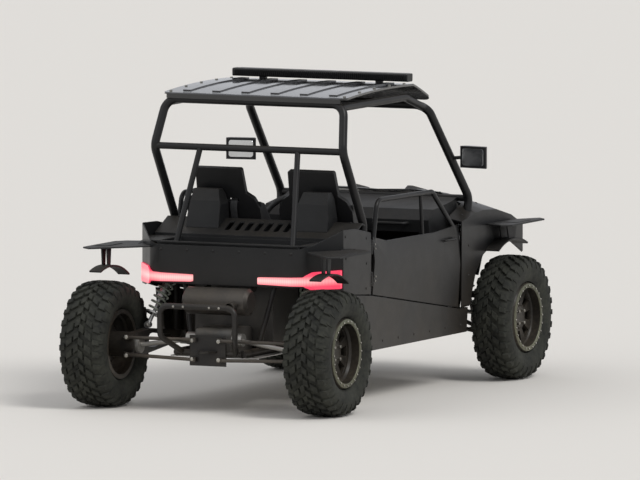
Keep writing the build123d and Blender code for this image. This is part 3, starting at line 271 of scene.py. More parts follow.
def webbing():
    """Woven belt webbing with ribs along both edges."""
    f = Finish("belt_webbing")
    weave = f.wave("DIAGONAL", 240) * 0.6 + f.wave("Z", 330) * 0.4
    patches = f.ramp(f.noise(12, 5), 0.35, 0.7)
    base = f.mix(patches, (0.014, 0.014, 0.015), (0.024, 0.024, 0.025))
    f.set(Base_Color=f.mix(weave * 0.5, base, (0.050, 0.050, 0.052)), Roughness=0.78, Sheen_Weight=0.2)
    return f.bump(weave, 0.5, 0.0006)


def wheel_grip():
    """Soft grained grip of the steering wheel, with rubbed patches."""
    f = Finish("steering_wheel_grip")
    rubbed = f.ramp(f.noise(11, 5), 0.5, 0.7)
    f.set(
        Base_Color=f.mix(rubbed, (0.016, 0.016, 0.016), (0.030, 0.029, 0.028)),
        Roughness=(0.62 - rubbed * 0.25).clamped(), Specular_IOR_Level=0.5,
    )
    cells = f.node("ShaderNodeTexVoronoi", {"Vector": f.place, "Scale": 330.0}).outputs["Distance"]
    return f.bump(Value(f, cells) + f.noise(70, 3) * 0.4, 0.4, 0.0007, f.rounded(0.003))


def tail_lens():
    """Lit ribbed lens: a pale core that runs along the lamp, and deep red at its edges."""
    f = Finish("lit_tail_lens")
    ribs = f.wave("X", 26) * 0.6 + f.wave("Z", 60) * 0.4
    core = f.ramp((f.along("Z") - TAIL_LAMP_Z).size(), 0.030, 0.004)
    outer = f.ramp(f.along("X").size(), 0.40, 0.60)
    red = f.mix(outer, (1.0, 0.10, 0.17), (0.90, 0.03, 0.10))
    pale = f.mix(outer, (1.0, 0.72, 0.66), (1.0, 0.34, 0.36))
    f.set(
        Base_Color=f.mix(ribs * 0.4, (0.45, 0.01, 0.03), (0.22, 0.005, 0.015)),
        Emission_Color=f.mix((core * (ribs * 0.3 + 0.7)).clamped(), red, pale),
        Emission_Strength=1.0, Roughness=0.12, Coat_Weight=0.6,
    )
    return f.bump(ribs, 0.2, 0.001)


def head_lens():
    """Clear fluted lens over a bright reflector."""
    f = Finish("headlamp_lens")
    flutes = f.wave("X", 30)
    f.set(
        Base_Color=f.mix(flutes, (0.34, 0.36, 0.39), (0.74, 0.77, 0.80)), Metallic=0.55, Roughness=0.10,
        Coat_Weight=1.0, Coat_Roughness=0.03,
    )
    return f.bump(flutes, 0.3, 0.0012)


def finned_core():
    """Radiator core: thin fins in columns between flat tubes, dusty, with dark stripes of painted shade in
    the gaps between the fins.
    """
    f = Finish("radiator_fins_with_painted_gap_shade")
    fins, tubes = f.wave("Z", 190), f.wave("X", 26)
    dust = f.dust(0.8, 0.9)
    # the dark end of the fin stripes is painted shade in the gaps between the fins
    metal = f.mix(fins, (0.05, 0.05, 0.05), (0.36, 0.36, 0.35))
    f.set(Base_Color=f.mix(dust, metal, DUST), Metallic=(1.0 - dust) * 0.8, Roughness=0.5)
    return f.bump(fins * 0.5 + tubes, 0.6, 0.0015)


def mirror_glass():
    """Slightly dusty mirror glass."""
    f = Finish("mirror_glass")
    film = f.ramp(f.noise(11, 4), 0.35, 0.8) * 0.15
    tint = f.mix(film, (0.60, 0.62, 0.64), DUST)
    return f.set(Base_Color=tint, Metallic=1.0 - film, Roughness=(film * 0.6 + 0.06).clamped())


def lamp_cell():
    """Bright reflector cup of the light bar, with a yellow emitter at its bottom."""
    f = Finish("light_bar_reflector")
    depth = f.ramp(f.along("Y"), BAR_FACE - 0.004, BAR_FACE - 0.001)
    tint = f.mix(depth, (0.62, 0.50, 0.16), (0.66, 0.67, 0.68))
    return f.set(Base_Color=tint, Metallic=depth, Roughness=(0.5 - depth * 0.38).clamped(), Coat_Weight=0.8)


RUBBER, COVER, WEBBING, GRIP = rubber(), seat_cover(), webbing(), wheel_grip()
RED_LENS, CLEAR_LENS, FINS, GLASS, CELL = tail_lens(), head_lens(), finned_core(), mirror_glass(), lamp_cell()

# finish: the CAD nodes that carry it
FINISHES = (
    (PAINT, "cage_rear_hoop cage_front_hoop cage_roof_rails cage_rear_braces light_bar chassis_frame"
            " front_frame rear_frame front_bumper rear_bumper front_arms trailing_arms"),
    (BODY, "hood front_fenders front_fascia rocker_panels rear_side_panels rear_fascia mirrors"
           " door_right door_left"),
    (ROOF, "roof_panel"),
    (TRIM, "cabin_tub dashboard fender_flares cargo_bed engine_cover air_scoops"),
    (SHELL, "seat_shells"),
    (ALLOY, "shock_absorbers skid_plate"),
    (DARK_STEEL, "muffler rear_links"),
    (FINS, "radiator"),
    (GRIP, "steering_wheel"),
    (STEEL, "half_shafts tie_rods"),
    (CAST, "engine_block gear_cases steering_rack knuckle_right knuckle_left"),
    (RIM, "rim_front_right rim_front_left rim_rear_right rim_rear_left"),
    (CLEAR_LENS, "headlamps"),
    (RED_LENS, "tail_lamps"),
    (RUBBER, "tyre_front_right tyre_front_left tyre_rear_right tyre_rear_left"),
    (SPRING, "coil_springs"),
    (COVER, "seat_base_right seat_base_left seat_back_right seat_back_left head_rest_right head_rest_left"),
)
for finish, nodes in FINISHES:
    for node in nodes.split():
        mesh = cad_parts[node].data
        mesh.materials.clear()
        mesh.materials.append(finish.material)


def piece(name, form, finish, smooth=30, body="buggy"):
    """A new mesh that rides on a CAD body: its form is a list of points and one of faces."""
    points, faces = form
    mesh = bpy.data.meshes.new(name)
    mesh.from_pydata([tuple(p) for p in points], [], faces)
    mesh.validate()
    mesh.materials.append(finish.material)
    if smooth:
        mesh.shade_smooth()
        mesh.set_sharp_from_angle(angle=radians(smooth))
    made = bpy.data.objects.new(name, mesh)
    scene.collection.objects.link(made)
    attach(made, body)
    return made


def circle(points, middle, across, other, radius, count):
    """Adds the points of a circle in the plane of two ways, from the first of them on."""
    for k in range(count):
        a = 2 * pi * k / count
        points.append(middle + across * (radius * cos(a)) + other * (radius * sin(a)))


def close_rings(points, faces, first, count, foot=True, turned=False):
    """Adds the sides and ends over the rings of points that follow each other from the first point on."""
    made = []
    for low in range(first, len(points) - count, count):
        for k in range(count):
            m = (k + 1) % count
            made.append([low + k, low + m, low + count + m, low + count + k])
    if foot:
        made.append([first + k for k in reversed(range(count))])
    made.append([len(points) - count + k for k in range(count)])
    faces.extend(face[:1] + face[:0:-1] if turned else face for face in made)


def on_side(side, place):
    """A place or way of the right side, or its mirror image where the side is -1."""
    return Vector((side * place[0], place[1], place[2]))


def mirrored(form):
    """The same form on the other side of the buggy."""
    points, faces = form
    return [on_side(-1, p) for p in points], [face[::-1] for face in faces]


def on_wheel(centre, side, x, radius, angle):
    """A place at a distance out from a wheel's middle, and at a radius and an angle round its axle."""
    return (centre[0] + side * x, centre[1] + radius * cos(angle), centre[2] + radius * sin(angle))


def wheel_ring(profile, centre, side, count=96):
    """Points and faces of a closed profile of (x, radius) turned about a wheel's axle."""
    points, faces = [], []
    n = len(profile)
    for i in range(count):
        points.extend(on_wheel(centre, side, x, r, 2 * pi * i / count) for x, r in profile)
    for i in range(count):
        j = (i + 1) % count
        for k in range(n):
            m = (k + 1) % n
            corner = [i * n + k, i * n + m, j * n + m, j * n + k]
            faces.append(corner if side > 0 else corner[::-1])
    return points, faces


LUG, LUG_ROOT, LUG_TAPER, LUG_COUNT = 0.015, 0.019, 0.84, 30
CROWN_START, CROWN_DROP, CROWN_POWER = 0.35, 0.0196, 1.6

# lug row: middle and half width as shares of half the tyre, length, slant, shift in pitches
LUG_ROWS = (
    (0.10, 0.115, 0.046, 0.010, 0.00),
    (0.42, 0.150, 0.040, 0.014, 0.50),
    (0.76, 0.150, 0.036, 0.004, 0.00),
)

# side lug: half angle, then radius and distance past the tyre's side at its inner and its outer end
SIDE_LUGS = (
    (0.052, (0.300, -0.002), (0.334, -0.016)),
    (0.030, (0.283, 0.0005), (0.300, -0.0035)),
)
SIDE_LUG_ROOT, SIDE_LUG_RISE = 0.010, 0.0016


def tread_height(x, width):
    """How far the lug tops stand from the axle at a distance from the tyre's middle."""
    share = max(0.0, abs(x) / (width / 2) - CROWN_START) / (1 - CROWN_START)
    return TYRE_RADIUS - 0.0005 - CROWN_DROP * share ** CROWN_POWER


def make_tyre(name, side, centre, width, half):
    """A knobbly off-road tyre: a round carcass with rows of lugs that reach down the shoulders."""
    bulge, edge, tread = width / 2, half - 0.0105, TYRE_RADIUS - LUG
    wall = [
        (edge, 0.1785), (edge, 0.199), (half + 0.004, 0.204),
        (bulge - 0.012, 0.222), (bulge - 0.003, 0.245), (bulge, 0.272), (bulge - 0.004, 0.298),
        (bulge - 0.013, 0.318), (bulge - 0.030, tread - 0.0075),
        (bulge * 0.55, tread - 0.002), (bulge * 0.25, tread), (0.0, tread),
    ]
    profile = wall + [(-x, r) for x, r in reversed(wall[:-1])]
    points, faces = wheel_ring(profile, centre, side)

    def lug(corners):
        """A tread lug over four corners of (x, angle, top radius), drawn in towards its top."""
        first = len(points)
        mx, ma = (sum(c[i] for c in corners) / 4 for i in (0, 1))
        points.extend(on_wheel(centre, side, x, r - LUG_ROOT, a) for x, a, r in corners)
        for x, a, r in corners:
            points.append(on_wheel(centre, side, mx + (x - mx) * LUG_TAPER, r, ma + (a - ma) * LUG_TAPER))
        close_rings(points, faces, first, 4, foot=False)

    for mid, reach, length, slant, shift in LUG_ROWS:
        da, ds = length / 2 / TYRE_RADIUS, slant / TYRE_RADIUS
        for i in range(LUG_COUNT):
            uneven = 1.0 + 0.12 * (1 if i % 2 else -1)
            for hand in (-1, 1):
                a = 2 * pi * (i + shift + (0.5 if hand < 0 else 0.0)) / LUG_COUNT
                x0, x1 = hand * (mid - reach) * bulge, hand * (mid + reach) * bulge
                r0, r1 = tread_height(x0, width), tread_height(x1, width)
                corners = [
                    (x0, a - da * uneven - ds, r0), (x1, a - da * uneven + ds, r1),
                    (x1, a + da + ds, r1), (x0, a + da - ds, r0),
                ]
                if hand * side < 0:
                    corners.reverse()
                lug(corners)
    for i in range(LUG_COUNT):
        for hand in (-1, 1):
            a = 2 * pi * (i + (0.5 if hand < 0 else 0.0)) / LUG_COUNT
            for half_angle, *ends in SIDE_LUGS:
                b = len(points)
                for r, past in ends:
                    x = hand * (bulge + past)
                    for s in (-1, 1):
                        for shift, share in ((-SIDE_LUG_ROOT, 0.55), (SIDE_LUG_RISE, 0.45)):
                            turn = a + s * half_angle * share
                            points.append(on_wheel(centre, side, x + hand * shift, r, turn))
                quads = [
                    [b + 1, b + 3, b + 7, b + 5], [b, b + 1, b + 5, b + 4], [b + 3, b + 2, b + 6, b + 7],
                    [b + 4, b + 5, b + 7, b + 6], [b, b + 2, b + 3, b + 1],
                ]
                faces.extend(q if hand * side > 0 else q[::-1] for q in quads)
    made = piece(f"knobbly_tyre_{name}", (points, faces), RUBBER, 40, f"wheel_{name}")
    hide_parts(f"tyre_{name}")


# form on a face: rings of height and radius, as shares of the whole
HEX_HEAD = ((-0.001, 1.0), (0.8, 1.0), (1.0, 0.82))
CLIP_HEAD = ((-0.001, 1.0), (0.35, 0.98), (0.75, 0.80), (1.0, 0.45))
LAMP_BOWL = ((0.0, 1.0), (1.0, 1.0), (1.0, 0.88), (0.35, 0.60), (0.12, 0.30))


def add_head(form, place, way, radius, height, rings=HEX_HEAD, count=6):
    """Adds a bolt head, a clip or a lamp's bowl that stands at a place and looks along a way."""
    points, faces = form
    way = Vector(way).normalized()
    across = way.orthogonal().normalized()
    first = len(points)
    for rise, share in rings:
        middle = Vector(place) + way * (height * rise)
        circle(points, middle, across, way.cross(across), radius * share, count)
    close_rings(points, faces, first, count, foot=False)


BEADLOCK_BOLTS, BEADLOCK_RADIUS = 24, 0.179
WHEEL_NUTS, NUT_RADIUS, NUT_X = 4, 0.048, 0.050


def make_rim_ring(name, side, centre, half):
    """The bolted outer ring of a rim, its bolts and the wheel nuts."""
    low, middle, high = half + 0.009, half + 0.012, half + 0.016
    profile = [(low, 0.169), (middle, 0.167), (high, 0.171), (high, 0.187), (middle, 0.192), (low, 0.192)]
    form = wheel_ring(profile, centre, side)
    piece(f"rim_ring_{name}", form, RING, 40, f"wheel_{name}")
    form = [], []
    for count, shift, x, bolt_circle, radius, height in (
        (BEADLOCK_BOLTS, 0.0, high, BEADLOCK_RADIUS, 0.0055, 0.006),
        (WHEEL_NUTS, 0.5, NUT_X, NUT_RADIUS, 0.010, 0.016),
    ):
        for i in range(count):
            spot = on_wheel(centre, side, x, bolt_circle, 2 * pi * (i + shift) / count)
            add_head(form, spot, (side, 0, 0), radius, height)
    piece(f"wheel_bolts_{name}", form, BOLT, 30, f"wheel_{name}")


for name, side, middle, y, width, half in WHEELS:
    hub = (side * middle, y, HUB_Z)
    make_tyre(name, side, hub, width, half)
    make_rim_ring(name, side, hub, half)


def add_tube(form, line, radius, count):
    """Adds a round tube along a line of points."""
    points, faces = form
    line = [Vector(p) for p in line]
    first, across = len(points), None
    for i, p in enumerate(line):
        way = (line[min(i + 1, len(line) - 1)] - line[max(i - 1, 0)]).normalized()
        across = (across - way * across.dot(way)).normalized() if across else way.orthogonal().normalized()
        circle(points, p, across, way.cross(across), radius, count)
    close_rings(points, faces, first, count)


# Springs: wound wire that climbs a little faster at its ends than at its middle
WIRE_RADIUS, COIL_RADIUS, COIL_PITCH, COIL_STEPS = 0.0062, 0.0385, 0.034, 22
END_INSET, END_EASE = 0.007, 0.012

# spring: low and high damper points, and the shares between which the coil stands
SPRINGS = (
    ((0.430, 1.26652, 0.31976), (0.290, 1.306, 0.7887), 0.30, 0.86),
    ((0.498, -1.089, 0.4493), (0.400, -0.929, 0.7777), 0.20, 0.85),
)
form = [], []
for low, high, start, end in SPRINGS:
    for side in (-1, 1):
        a, b = on_side(side, low), on_side(side, high)
        way = (b - a).normalized()
        across = way.orthogonal().normalized()
        other = way.cross(across)
        foot, length = a.lerp(b, start), (b - a).length * (end - start)
        turns = length / COIL_PITCH
        total = int(turns * COIL_STEPS)
        line = []
        for i in range(total + 1):
            share = i / total
            rise = END_INSET + (length - 2 * END_INSET) * (share + END_EASE * sin(2 * pi * share))
            angle = 2 * pi * turns * share * side
            line.append(foot + way * rise + (across * cos(angle) + other * sin(angle)) * COIL_RADIUS)
        add_tube(form, line, WIRE_RADIUS, 8)
springs = piece("wound_coil_springs", form, SPRING, 60)
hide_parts("coil_springs")


# Seat cushions: swollen by a cloth simulation, then drawn in along their seams and channels
def seat_part(lean):
    """Takes a point across, forward and up in a right-hand seat part to the world."""
    return Matrix.Translation((SEAT_X, SEAT_REAR_Y, SEAT_Z)) @ Matrix.Rotation(radians(lean), 4, "X")


BACK_PART, PAN_PART = seat_part(17), seat_part(7)
PAD_HALF, PAD_VOXEL = 0.1935, 0.006
SWELL_LIMIT, PUFF_FRAMES, PUFF_FORCE = 0.022, 20, 4.0
PAD_CORNER, PAD_PULL, PAD_STEP, PAD_GAP = 0.035, 0.007, 0.02, 0.001
CHANNEL_HALF, CHANNEL_FADE = 0.0065, 0.012

# ring of a cushion before it swells: its outline's scale, and its share of the thickness
PAD_RINGS = (
    (0.60, 0.0), (0.94, 0.0), (0.99, 0.14), (1.0, 0.42),
    (0.985, 0.70), (0.94, 0.88), (0.82, 0.97), (0.45, 1.0),
)


class Pad:
    """A cushion of one seat part: its outline across and along, and its thickness."""

    def __init__(self, word, part, thick_axis, corners, thickness, swell, channels):
        self.word, self.part, self.thick_axis, self.corners = word, part, thick_axis, corners
        self.thickness, self.swell, self.channels = thickness, swell, channels

    def world(self, across, along, thick):
        local = (across, along, thick) if self.thick_axis == 2 else (across, thick, along)
        return self.part @ Vector(local)

    def local(self, point):
        """Across, along and thickness of a world point."""
        p = self.part.inverted() @ point
        return (p.x, p.y, p.z) if self.thick_axis == 2 else (p.x, p.z, p.y)

    def outline(self):
        """The cushion's edge: rounded corners, with sides that pull in between them."""
        corners = [Vector(c) for c in self.corners]
        line = []
        for i, corner in enumerate(corners):
            before, after = corners[i - 1], corners[(i + 1) % len(corners)]
            start = corner + (before - corner).normalized() * PAD_CORNER
            end = corner + (after - corner).normalized() * PAD_CORNER
            for k in range(5):
                t = k / 4
                line.append(start * (1 - t) ** 2 + corner * (2 * t * (1 - t)) + end * t ** 2)
            far = after + (corner - after).normalized() * PAD_CORNER
            side = far - end
            count = max(1, int(side.length / PAD_STEP))
            inward = Vector((-side.y, side.x)).normalized() * min(PAD_PULL, side.length * 0.05)
            for k in range(1, count):
                t = k / count
                line.append(end + side * t + inward * sin(pi * t))
        return line

    def form(self):
        """The closed form before it swells."""
        line = self.outline()
        middle = sum(line, Vector((0, 0))) / len(line)
        points, faces = [], []
        for scale, share in PAD_RINGS:
            for p in line:
                q = middle + (p - middle) * scale
                points.append(self.world(q.x, q.y, PAD_GAP + self.thickness * share))
        close_rings(points, faces, 0, len(line))
        return points, faces

    def groove(self, across, along):
        """How deep the seams and channels draw the cover in at a place."""
        start, pitch, count, seam_depth, channel_depth = self.channels
        depth = seam_depth * exp(-((abs(across) - SEAM_X) / CHANNEL_HALF) ** 2)
        inside = min(1.0, max(0.0, (SEAM_X - abs(across)) / CHANNEL_FADE))
        for k in range(count):
            depth += channel_depth * inside * exp(-((along - start - pitch * k) / CHANNEL_HALF) ** 2)
        return depth


# word, seat part, thickness axis, outline, thickness, swell share, channels: first, pitch, count, seam and
# channel depth
PADS = (
    Pad("seat_base", PAN_PART, 2, [(-0.190, 0.110), (0.190, 0.110), (0.190, 0.486), (-0.190, 0.486)],
        0.070, 1.0, (0.165, 0.062, 5, 0.008, 0.006)),
    Pad("seat_back", BACK_PART, 1,
        [(-0.190, 0.108), (0.190, 0.108), (0.190, 0.596), (0.150, 0.674), (-0.150, 0.674), (-0.190, 0.596)],
        0.072, 1.0, (0.180, 0.068, 7, 0.008, 0.006)),
    Pad("head_rest", BACK_PART, 1, [(-0.126, 0.738), (0.126, 0.738), (0.126, 0.869), (-0.126, 0.869)],
        0.056, 0.7, (0.0, 0.0, 0, 0.0, 0.0)),
)


def with_modifiers(made):
    """Gives an object the mesh that its modifiers make, and takes them off."""
    shaped = bpy.data.meshes.new_from_object(made.evaluated_get(bpy.context.evaluated_depsgraph_get()))
    made.modifiers.clear()
    made.data = shaped


cushions = []
for pad in PADS:
    cushion = piece(f"{pad.word}_cushion_right", pad.form(), COVER, 0)
    remesh = cushion.modifiers.new("remesh", "REMESH")
    remesh.mode, remesh.voxel_size = "VOXEL", PAD_VOXEL
    smooth = cushion.modifiers.new("smooth", "SMOOTH")
    smooth.factor, smooth.iterations = 0.5, 4
    with_modifiers(cushion)
    cushions.append(cushion)

flat_points = [[v.co.copy() for v in cushion.data.vertices] for cushion in cushions]
for pad, cushion in zip(PADS, cushions):
    cloth = cushion.modifiers.new("cloth", "CLOTH")
    cloth.settings.quality, cloth.settings.mass = 4, 0.3
    cloth.settings.use_pressure = True
    cloth.settings.uniform_pressure_force = PUFF_FORCE * pad.swell
    cloth.settings.effector_weights.gravity = 0.0
    cloth.point_cache.frame_start, cloth.point_cache.frame_end = 1, PUFF_FRAMES
for frame_number in range(1, PUFF_FRAMES + 1):
    scene.frame_set(frame_number)
for flat, cushion in zip(flat_points, cushions):
    with_modifiers(cushion)
    for before, vertex in zip(flat, cushion.data.vertices):
        moved = vertex.co - before
        if moved.length > SWELL_LIMIT:
            vertex.co = before + moved.normalized() * SWELL_LIMIT
scene.frame_set(1)
for cushion in cushions:
    cushion.modifiers.new("finer", "SUBSURF").levels = 1
    with_modifiers(cushion)

# a groove starts at this share of the thickness and has its full depth at the other
GROOVE_START, GROOVE_FULL, LEAST_THICK = 0.35, 0.75, 0.0006
for pad, cushion in zip(PADS, cushions):
    for vertex in cushion.data.vertices:
        across, along, thick = pad.local(vertex.co)
        front = (thick / pad.thickness - GROOVE_START) / (GROOVE_FULL - GROOVE_START)
        thick = max(LEAST_THICK, thick - min(1.0, max(0.0, front)) * pad.groove(across, along))
        vertex.co = pad.world(max(-PAD_HALF, min(PAD_HALF, across)), along, thick)
    cushion.data.shade_smooth()
    cushion.data.materials.clear()
    cushion.data.materials.append(COVER.material)
    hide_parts(f"{pad.word}_right")
    sewn = cushion.data
    form = [v.co for v in sewn.vertices], [list(p.vertices) for p in sewn.polygons]
    left = piece(f"{pad.word}_cushion_left", mirrored(form), COVER, 0)
    left.data.shade_smooth()
    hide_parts(f"{pad.word}_left")


def skin_of(made):
    """A tree for casting rays at an object's mesh, which lies in world places."""
    mesh = made.data
    points = [made.matrix_world @ v.co for v in mesh.vertices]
    return BVHTree.FromPolygons(points, [tuple(p.vertices) for p in mesh.polygons])


# Harness: flat webbing from the slots in each shell over the cushions to a buckle
BELT_HALF, BELT_THICK, BELT_GAP = 0.0215, 0.0022, 0.0035
BASE_PAD, BACK_PAD = PADS[:2]

# trees for casting rays at a cushion or, by its name, at a CAD node
SKINS = {BASE_PAD: skin_of(cushions[0]), BACK_PAD: skin_of(cushions[1])}

# webbing section: shares of half the width across and of the thickness up
BELT_SECTION = ((-1, 0), (-0.88, -0.5), (0.88, -0.5), (1, 0), (0.88, 0.5), (-0.88, 0.5))


def on_pad(pad, across, along):
    """A place just off a cushion's face, and the way that the face looks."""
    start = pad.world(across, along, 0.30)
    way = pad.world(across, along, 0.0) - start
    hit, normal, _, _ = SKINS[pad].ray_cast(start, way.normalized())
    if hit is None:
        return pad.world(across, along, 0.02), -way.normalized()
    normal = normal if normal.dot(way) < 0 else -normal
    return hit + normal * BELT_GAP, (normal - way.normalized()).normalized()


def smooth_line(marks, steps=4):
    """More marks between the given ones, along a curve through them all."""
    line = []
    for i in range(len(marks) - 1):
        a, b = marks[max(i - 1, 0)], marks[i]
        c, d = marks[i + 1], marks[min(i + 2, len(marks) - 1)]
        for t in (k / steps for k in range(steps)):
            line.append([
                0.5 * (p1 * 2 + (p2 - p0) * t + (p0 * 2 - p1 * 5 + p2 * 4 - p3) * t ** 2
                       + (p1 * 3 - p0 - p2 * 3 + p3) * t ** 3)
                for p0, p1, p2, p3 in zip(a, b, c, d)
            ])
    return line + [marks[-1]]


def add_belt(form, marks):
    """Adds flat webbing along marks of place and face normal."""
    points, faces = form
    line = smooth_line(marks)
    first = len(points)
    for i, (place, normal) in enumerate(line):
        way = (line[min(i + 1, len(line) - 1)][0] - line[max(i - 1, 0)][0]).normalized()
        across = way.cross(normal).normalized()
        up = across.cross(way).normalized()
        points.extend(place + across * (BELT_HALF * a) + up * (BELT_THICK * u) for a, u in BELT_SECTION)
    close_rings(points, faces, first, len(BELT_SECTION), turned=True)


def add_slab(form, place, x_way, y_way, outline, low, high, chamfer):
    """Adds a plate with chamfered edges over an outline, between two heights along x_way cross y_way."""
    points, faces = form
    x_way, y_way = x_way.normalized(), y_way.normalized()
    up = x_way.cross(y_way).normalized()
    middle = sum((Vector(p) for p in outline), Vector((0, 0))) / len(outline)
    first = len(points)
    for height, inset in ((low, 0.0), (high - chamfer, 0.0), (high, chamfer)):
        for p in outline:
            q = Vector(p)
            q = q + (middle - q).normalized() * inset
            points.append(place + x_way * q.x + y_way * q.y + up * height)
    close_rings(points, faces, first, len(outline))


def rounded_outline(half_x, half_y, radius, steps=4):
    """A rectangle with rounded corners, counter-clockwise."""
    line = []
    for corner, (sx, sy) in enumerate(((1, 1), (-1, 1), (-1, -1), (1, -1))):
        for k in range(steps + 1):
            a = pi / 2 * (corner + k / steps)
            line.append((sx * (half_x - radius) + radius * cos(a), sy * (half_y - radius) + radius * sin(a)))
    return line


BUCKLE_Y, SLIDER_Z = 0.265, 0.405
SLOT_X, SLOT_Z = 0.070, 0.701

# shoulder belt: thickness, height and facing behind and through its slot, heights down the back cushion,
# then shares of the way to the middle and places forward on the base cushion
SLOT_MARKS = (
    (-0.046, 0.600, BACK), (-0.042, 0.660, BACK),
    (-0.020, SLOT_Z - 0.002, UP), (0.012, SLOT_Z, UP), (0.045, 0.698, UP),
)
CHEST_MARKS = (0.650, 0.600, 0.540, 0.480, 0.420, 0.360, 0.300, 0.240, 0.190)
CHEST_RUN = CHEST_MARKS[0] - CHEST_MARKS[-1]
BELLY_MARKS = ((0.15, 0.190), (0.45, 0.215), (1.0, BUCKLE_Y - 0.020))

# lap belt: its anchor beside the base cushion, then places across and forward on the cushion
LAP_ANCHOR, LAP_FACING = (0.186, 0.104, 0.082), (-0.3, 0.2, 1.0)
LAP_MARKS = ((0.165, 0.135), (0.125, 0.180), (0.075, 0.225), (0.022, BUCKLE_Y))
straps, buckles = ([], []), ([], [])
for hand in (-1, 1):
    marks = []
    for thick, along, out in SLOT_MARKS:
        marks.append((BACK_PAD.world(hand * SLOT_X, along, thick), (BACK_PART.to_3x3() @ out).normalized()))
    for along in CHEST_MARKS:
        share = (CHEST_MARKS[0] - along) / CHEST_RUN
        marks.append(on_pad(BACK_PAD, hand * (SLOT_X - 0.028 * share), along))
    for share, along in BELLY_MARKS:
        marks.append(on_pad(BASE_PAD, hand * (0.042 - 0.030 * share), along))
    add_belt(straps, marks)
    marks = [(PAN_PART @ on_side(hand, LAP_ANCHOR), on_side(hand, LAP_FACING).normalized())]
    for across, along in LAP_MARKS:
        marks.append(on_pad(BASE_PAD, hand * across, along))
    add_belt(straps, marks)
    spot, out = on_pad(BACK_PAD, hand * (SLOT_X - 0.015), SLIDER_Z)
    side_way = (BACK_PART.to_3x3() @ UP).cross(out).normalized()
    slider = rounded_outline(0.028, 0.020, 0.006)
    add_slab(buckles, spot, side_way, out.cross(side_way), slider, -0.001, 0.0045, 0.0012)
spot, out = on_pad(BASE_PAD, 0.0, BUCKLE_Y)
side_way = (PAN_PART.to_3x3() @ AHEAD).cross(out).normalized()
ahead = out.cross(side_way)
add_slab(buckles, spot, side_way, ahead, rounded_outline(0.034, 0.030, 0.012), -0.001, 0.018, 0.004)
add_slab(buckles, spot, side_way, ahead, rounded_outline(0.014, 0.014, 0.006), 0.016, 0.0215, 0.0015)
for side in ("right", "left"):
    for word, form, finish, slot in (
        ("harness_webbing", straps, WEBBING, "seat_vinyl"),
        ("harness_buckles", buckles, BUCKLE, "steel"),
    ):
        piece(f"{word}_{side}", form if side == "right" else mirrored(form), finish, 40)

bpy.context.view_layer.update()


def at_face(node, start, way):
    """Where a ray from a start meets a CAD node, and the way that the face there looks."""
    if node not in SKINS:
        SKINS[node] = skin_of(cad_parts[node])
    way = Vector(way).normalized()
    hit, normal, _, _ = SKINS[node].ray_cast(Vector(start), way)
    if hit is None:
        raise ValueError(f"nothing of {node} lies ahead of {start}")
    return hit, normal if normal.dot(way) < 0 else -normal


# Fasteners: rows of heads that stand on the CAD faces, on both sides

# clips of the plastic panels: node, first and last start on the right, count, way of the ray, radius
CLIP_ROWS = (
    ("rocker_panels", (0.9, -0.60, 0.345), (0.9, 0.66, 0.345), 7, INWARD, 0.008),
    ("rear_side_panels", (0.9, CORNER_Y + 0.035, 0.72), (0.9, CORNER_Y + 0.035, 0.965), 3, INWARD, 0.008),
    ("rear_side_panels", (0.9, -0.60, 0.655), (0.9, -0.60, 0.935), 3, INWARD, 0.008),
    ("front_fenders", (0.9, 0.74, 0.62), (0.9, 0.74, 0.96), 3, INWARD, 0.008),
    ("front_fenders", (0.52, 0.93, 1.4), (0.54, 1.36, 1.4), 4, DOWN, 0.008),
    ("fender_flares", (0.665, FRONT - 0.17, 1.4), (0.665, FRONT + 0.12, 1.4), 4, DOWN, 0.008),
    ("fender_flares", (0.655, CORNER_Y + 0.07, 1.4), (0.585, CORNER_Y - 0.11, 1.4), 3, DOWN, 0.008),
    ("hood", (0.370, 0.92, 1.4), (0.370, 1.40, 1.4), 4, DOWN, 0.009),
    ("front_fascia", (0.345, 2.0, 0.62), (0.345, 2.0, 0.73), 2, BACK, 0.008),
    ("rear_fascia", (0.40, -2.0, 0.880), (0.08, -2.0, 0.880), 3, AHEAD, 0.008),
    ("cargo_bed", (0.520, CORNER_Y + 0.08, 1.2), (0.520, CORNER_Y - 0.06, 1.2), 2, DOWN, 0.008),
    ("engine_cover", (0.530, -0.62, 1.3), (0.120, -0.60, 1.3), 2, DOWN, 0.008),
)

# bolts of metal parts and the roof: node, first and last start on the right, count, way of the ray, radius
BOLT_ROWS = (
    ("roof_panel", (0.535, HOOP_Y + 0.03, 2.0), (0.535, 0.08, 2.0), 5, DOWN, 0.009),
    ("skid_plate", (0.20, -1.15, -0.3), (0.20, 1.25, -0.3), 7, UP, 0.008),
    ("skid_plate", (0.46, -0.50, -0.3), (0.46, 0.62, -0.3), 4, UP, 0.008),
    ("rear_links", (0.504, -2.0, 0.2995), (0.504, -2.0, 0.4025), 2, AHEAD, 0.012),
    ("rear_links", (0.081, -2.0, 0.2995), (0.081, -2.0, 0.4025), 2, AHEAD, 0.012),
    ("shock_absorbers", (0.498, -2.0, 0.4493), (0.400, -2.0, 0.7777), 2, AHEAD, 0.011),
    ("shock_absorbers", (0.430, 2.0, 0.3198), (0.290, 2.0, 0.7887), 2, BACK, 0.011),
    ("rear_bumper", (0.08, -2.0, 0.600), (0.14, -2.0, 0.600), 2, AHEAD, 0.007),
)


def fasten(name, rows, finish, head, count_round, rise):
    """One piece with the heads of all rows on both sides."""
    form = [], []
    for node, first, last, count, way, radius in rows:
        for side in (1, -1):
            for k in range(count):
                start = Vector(first).lerp(Vector(last), k / max(1, count - 1))
                spot, out = at_face(node, on_side(side, start), on_side(side, way))
                add_head(form, spot, out, radius, radius * rise, head, count_round)
    piece(name, form, finish, 40)


fasten("panel_clips", CLIP_ROWS, CLIP, CLIP_HEAD, 12, 0.42)
fasten("frame_bolts", BOLT_ROWS, BOLT, HEX_HEAD, 6, 0.65)

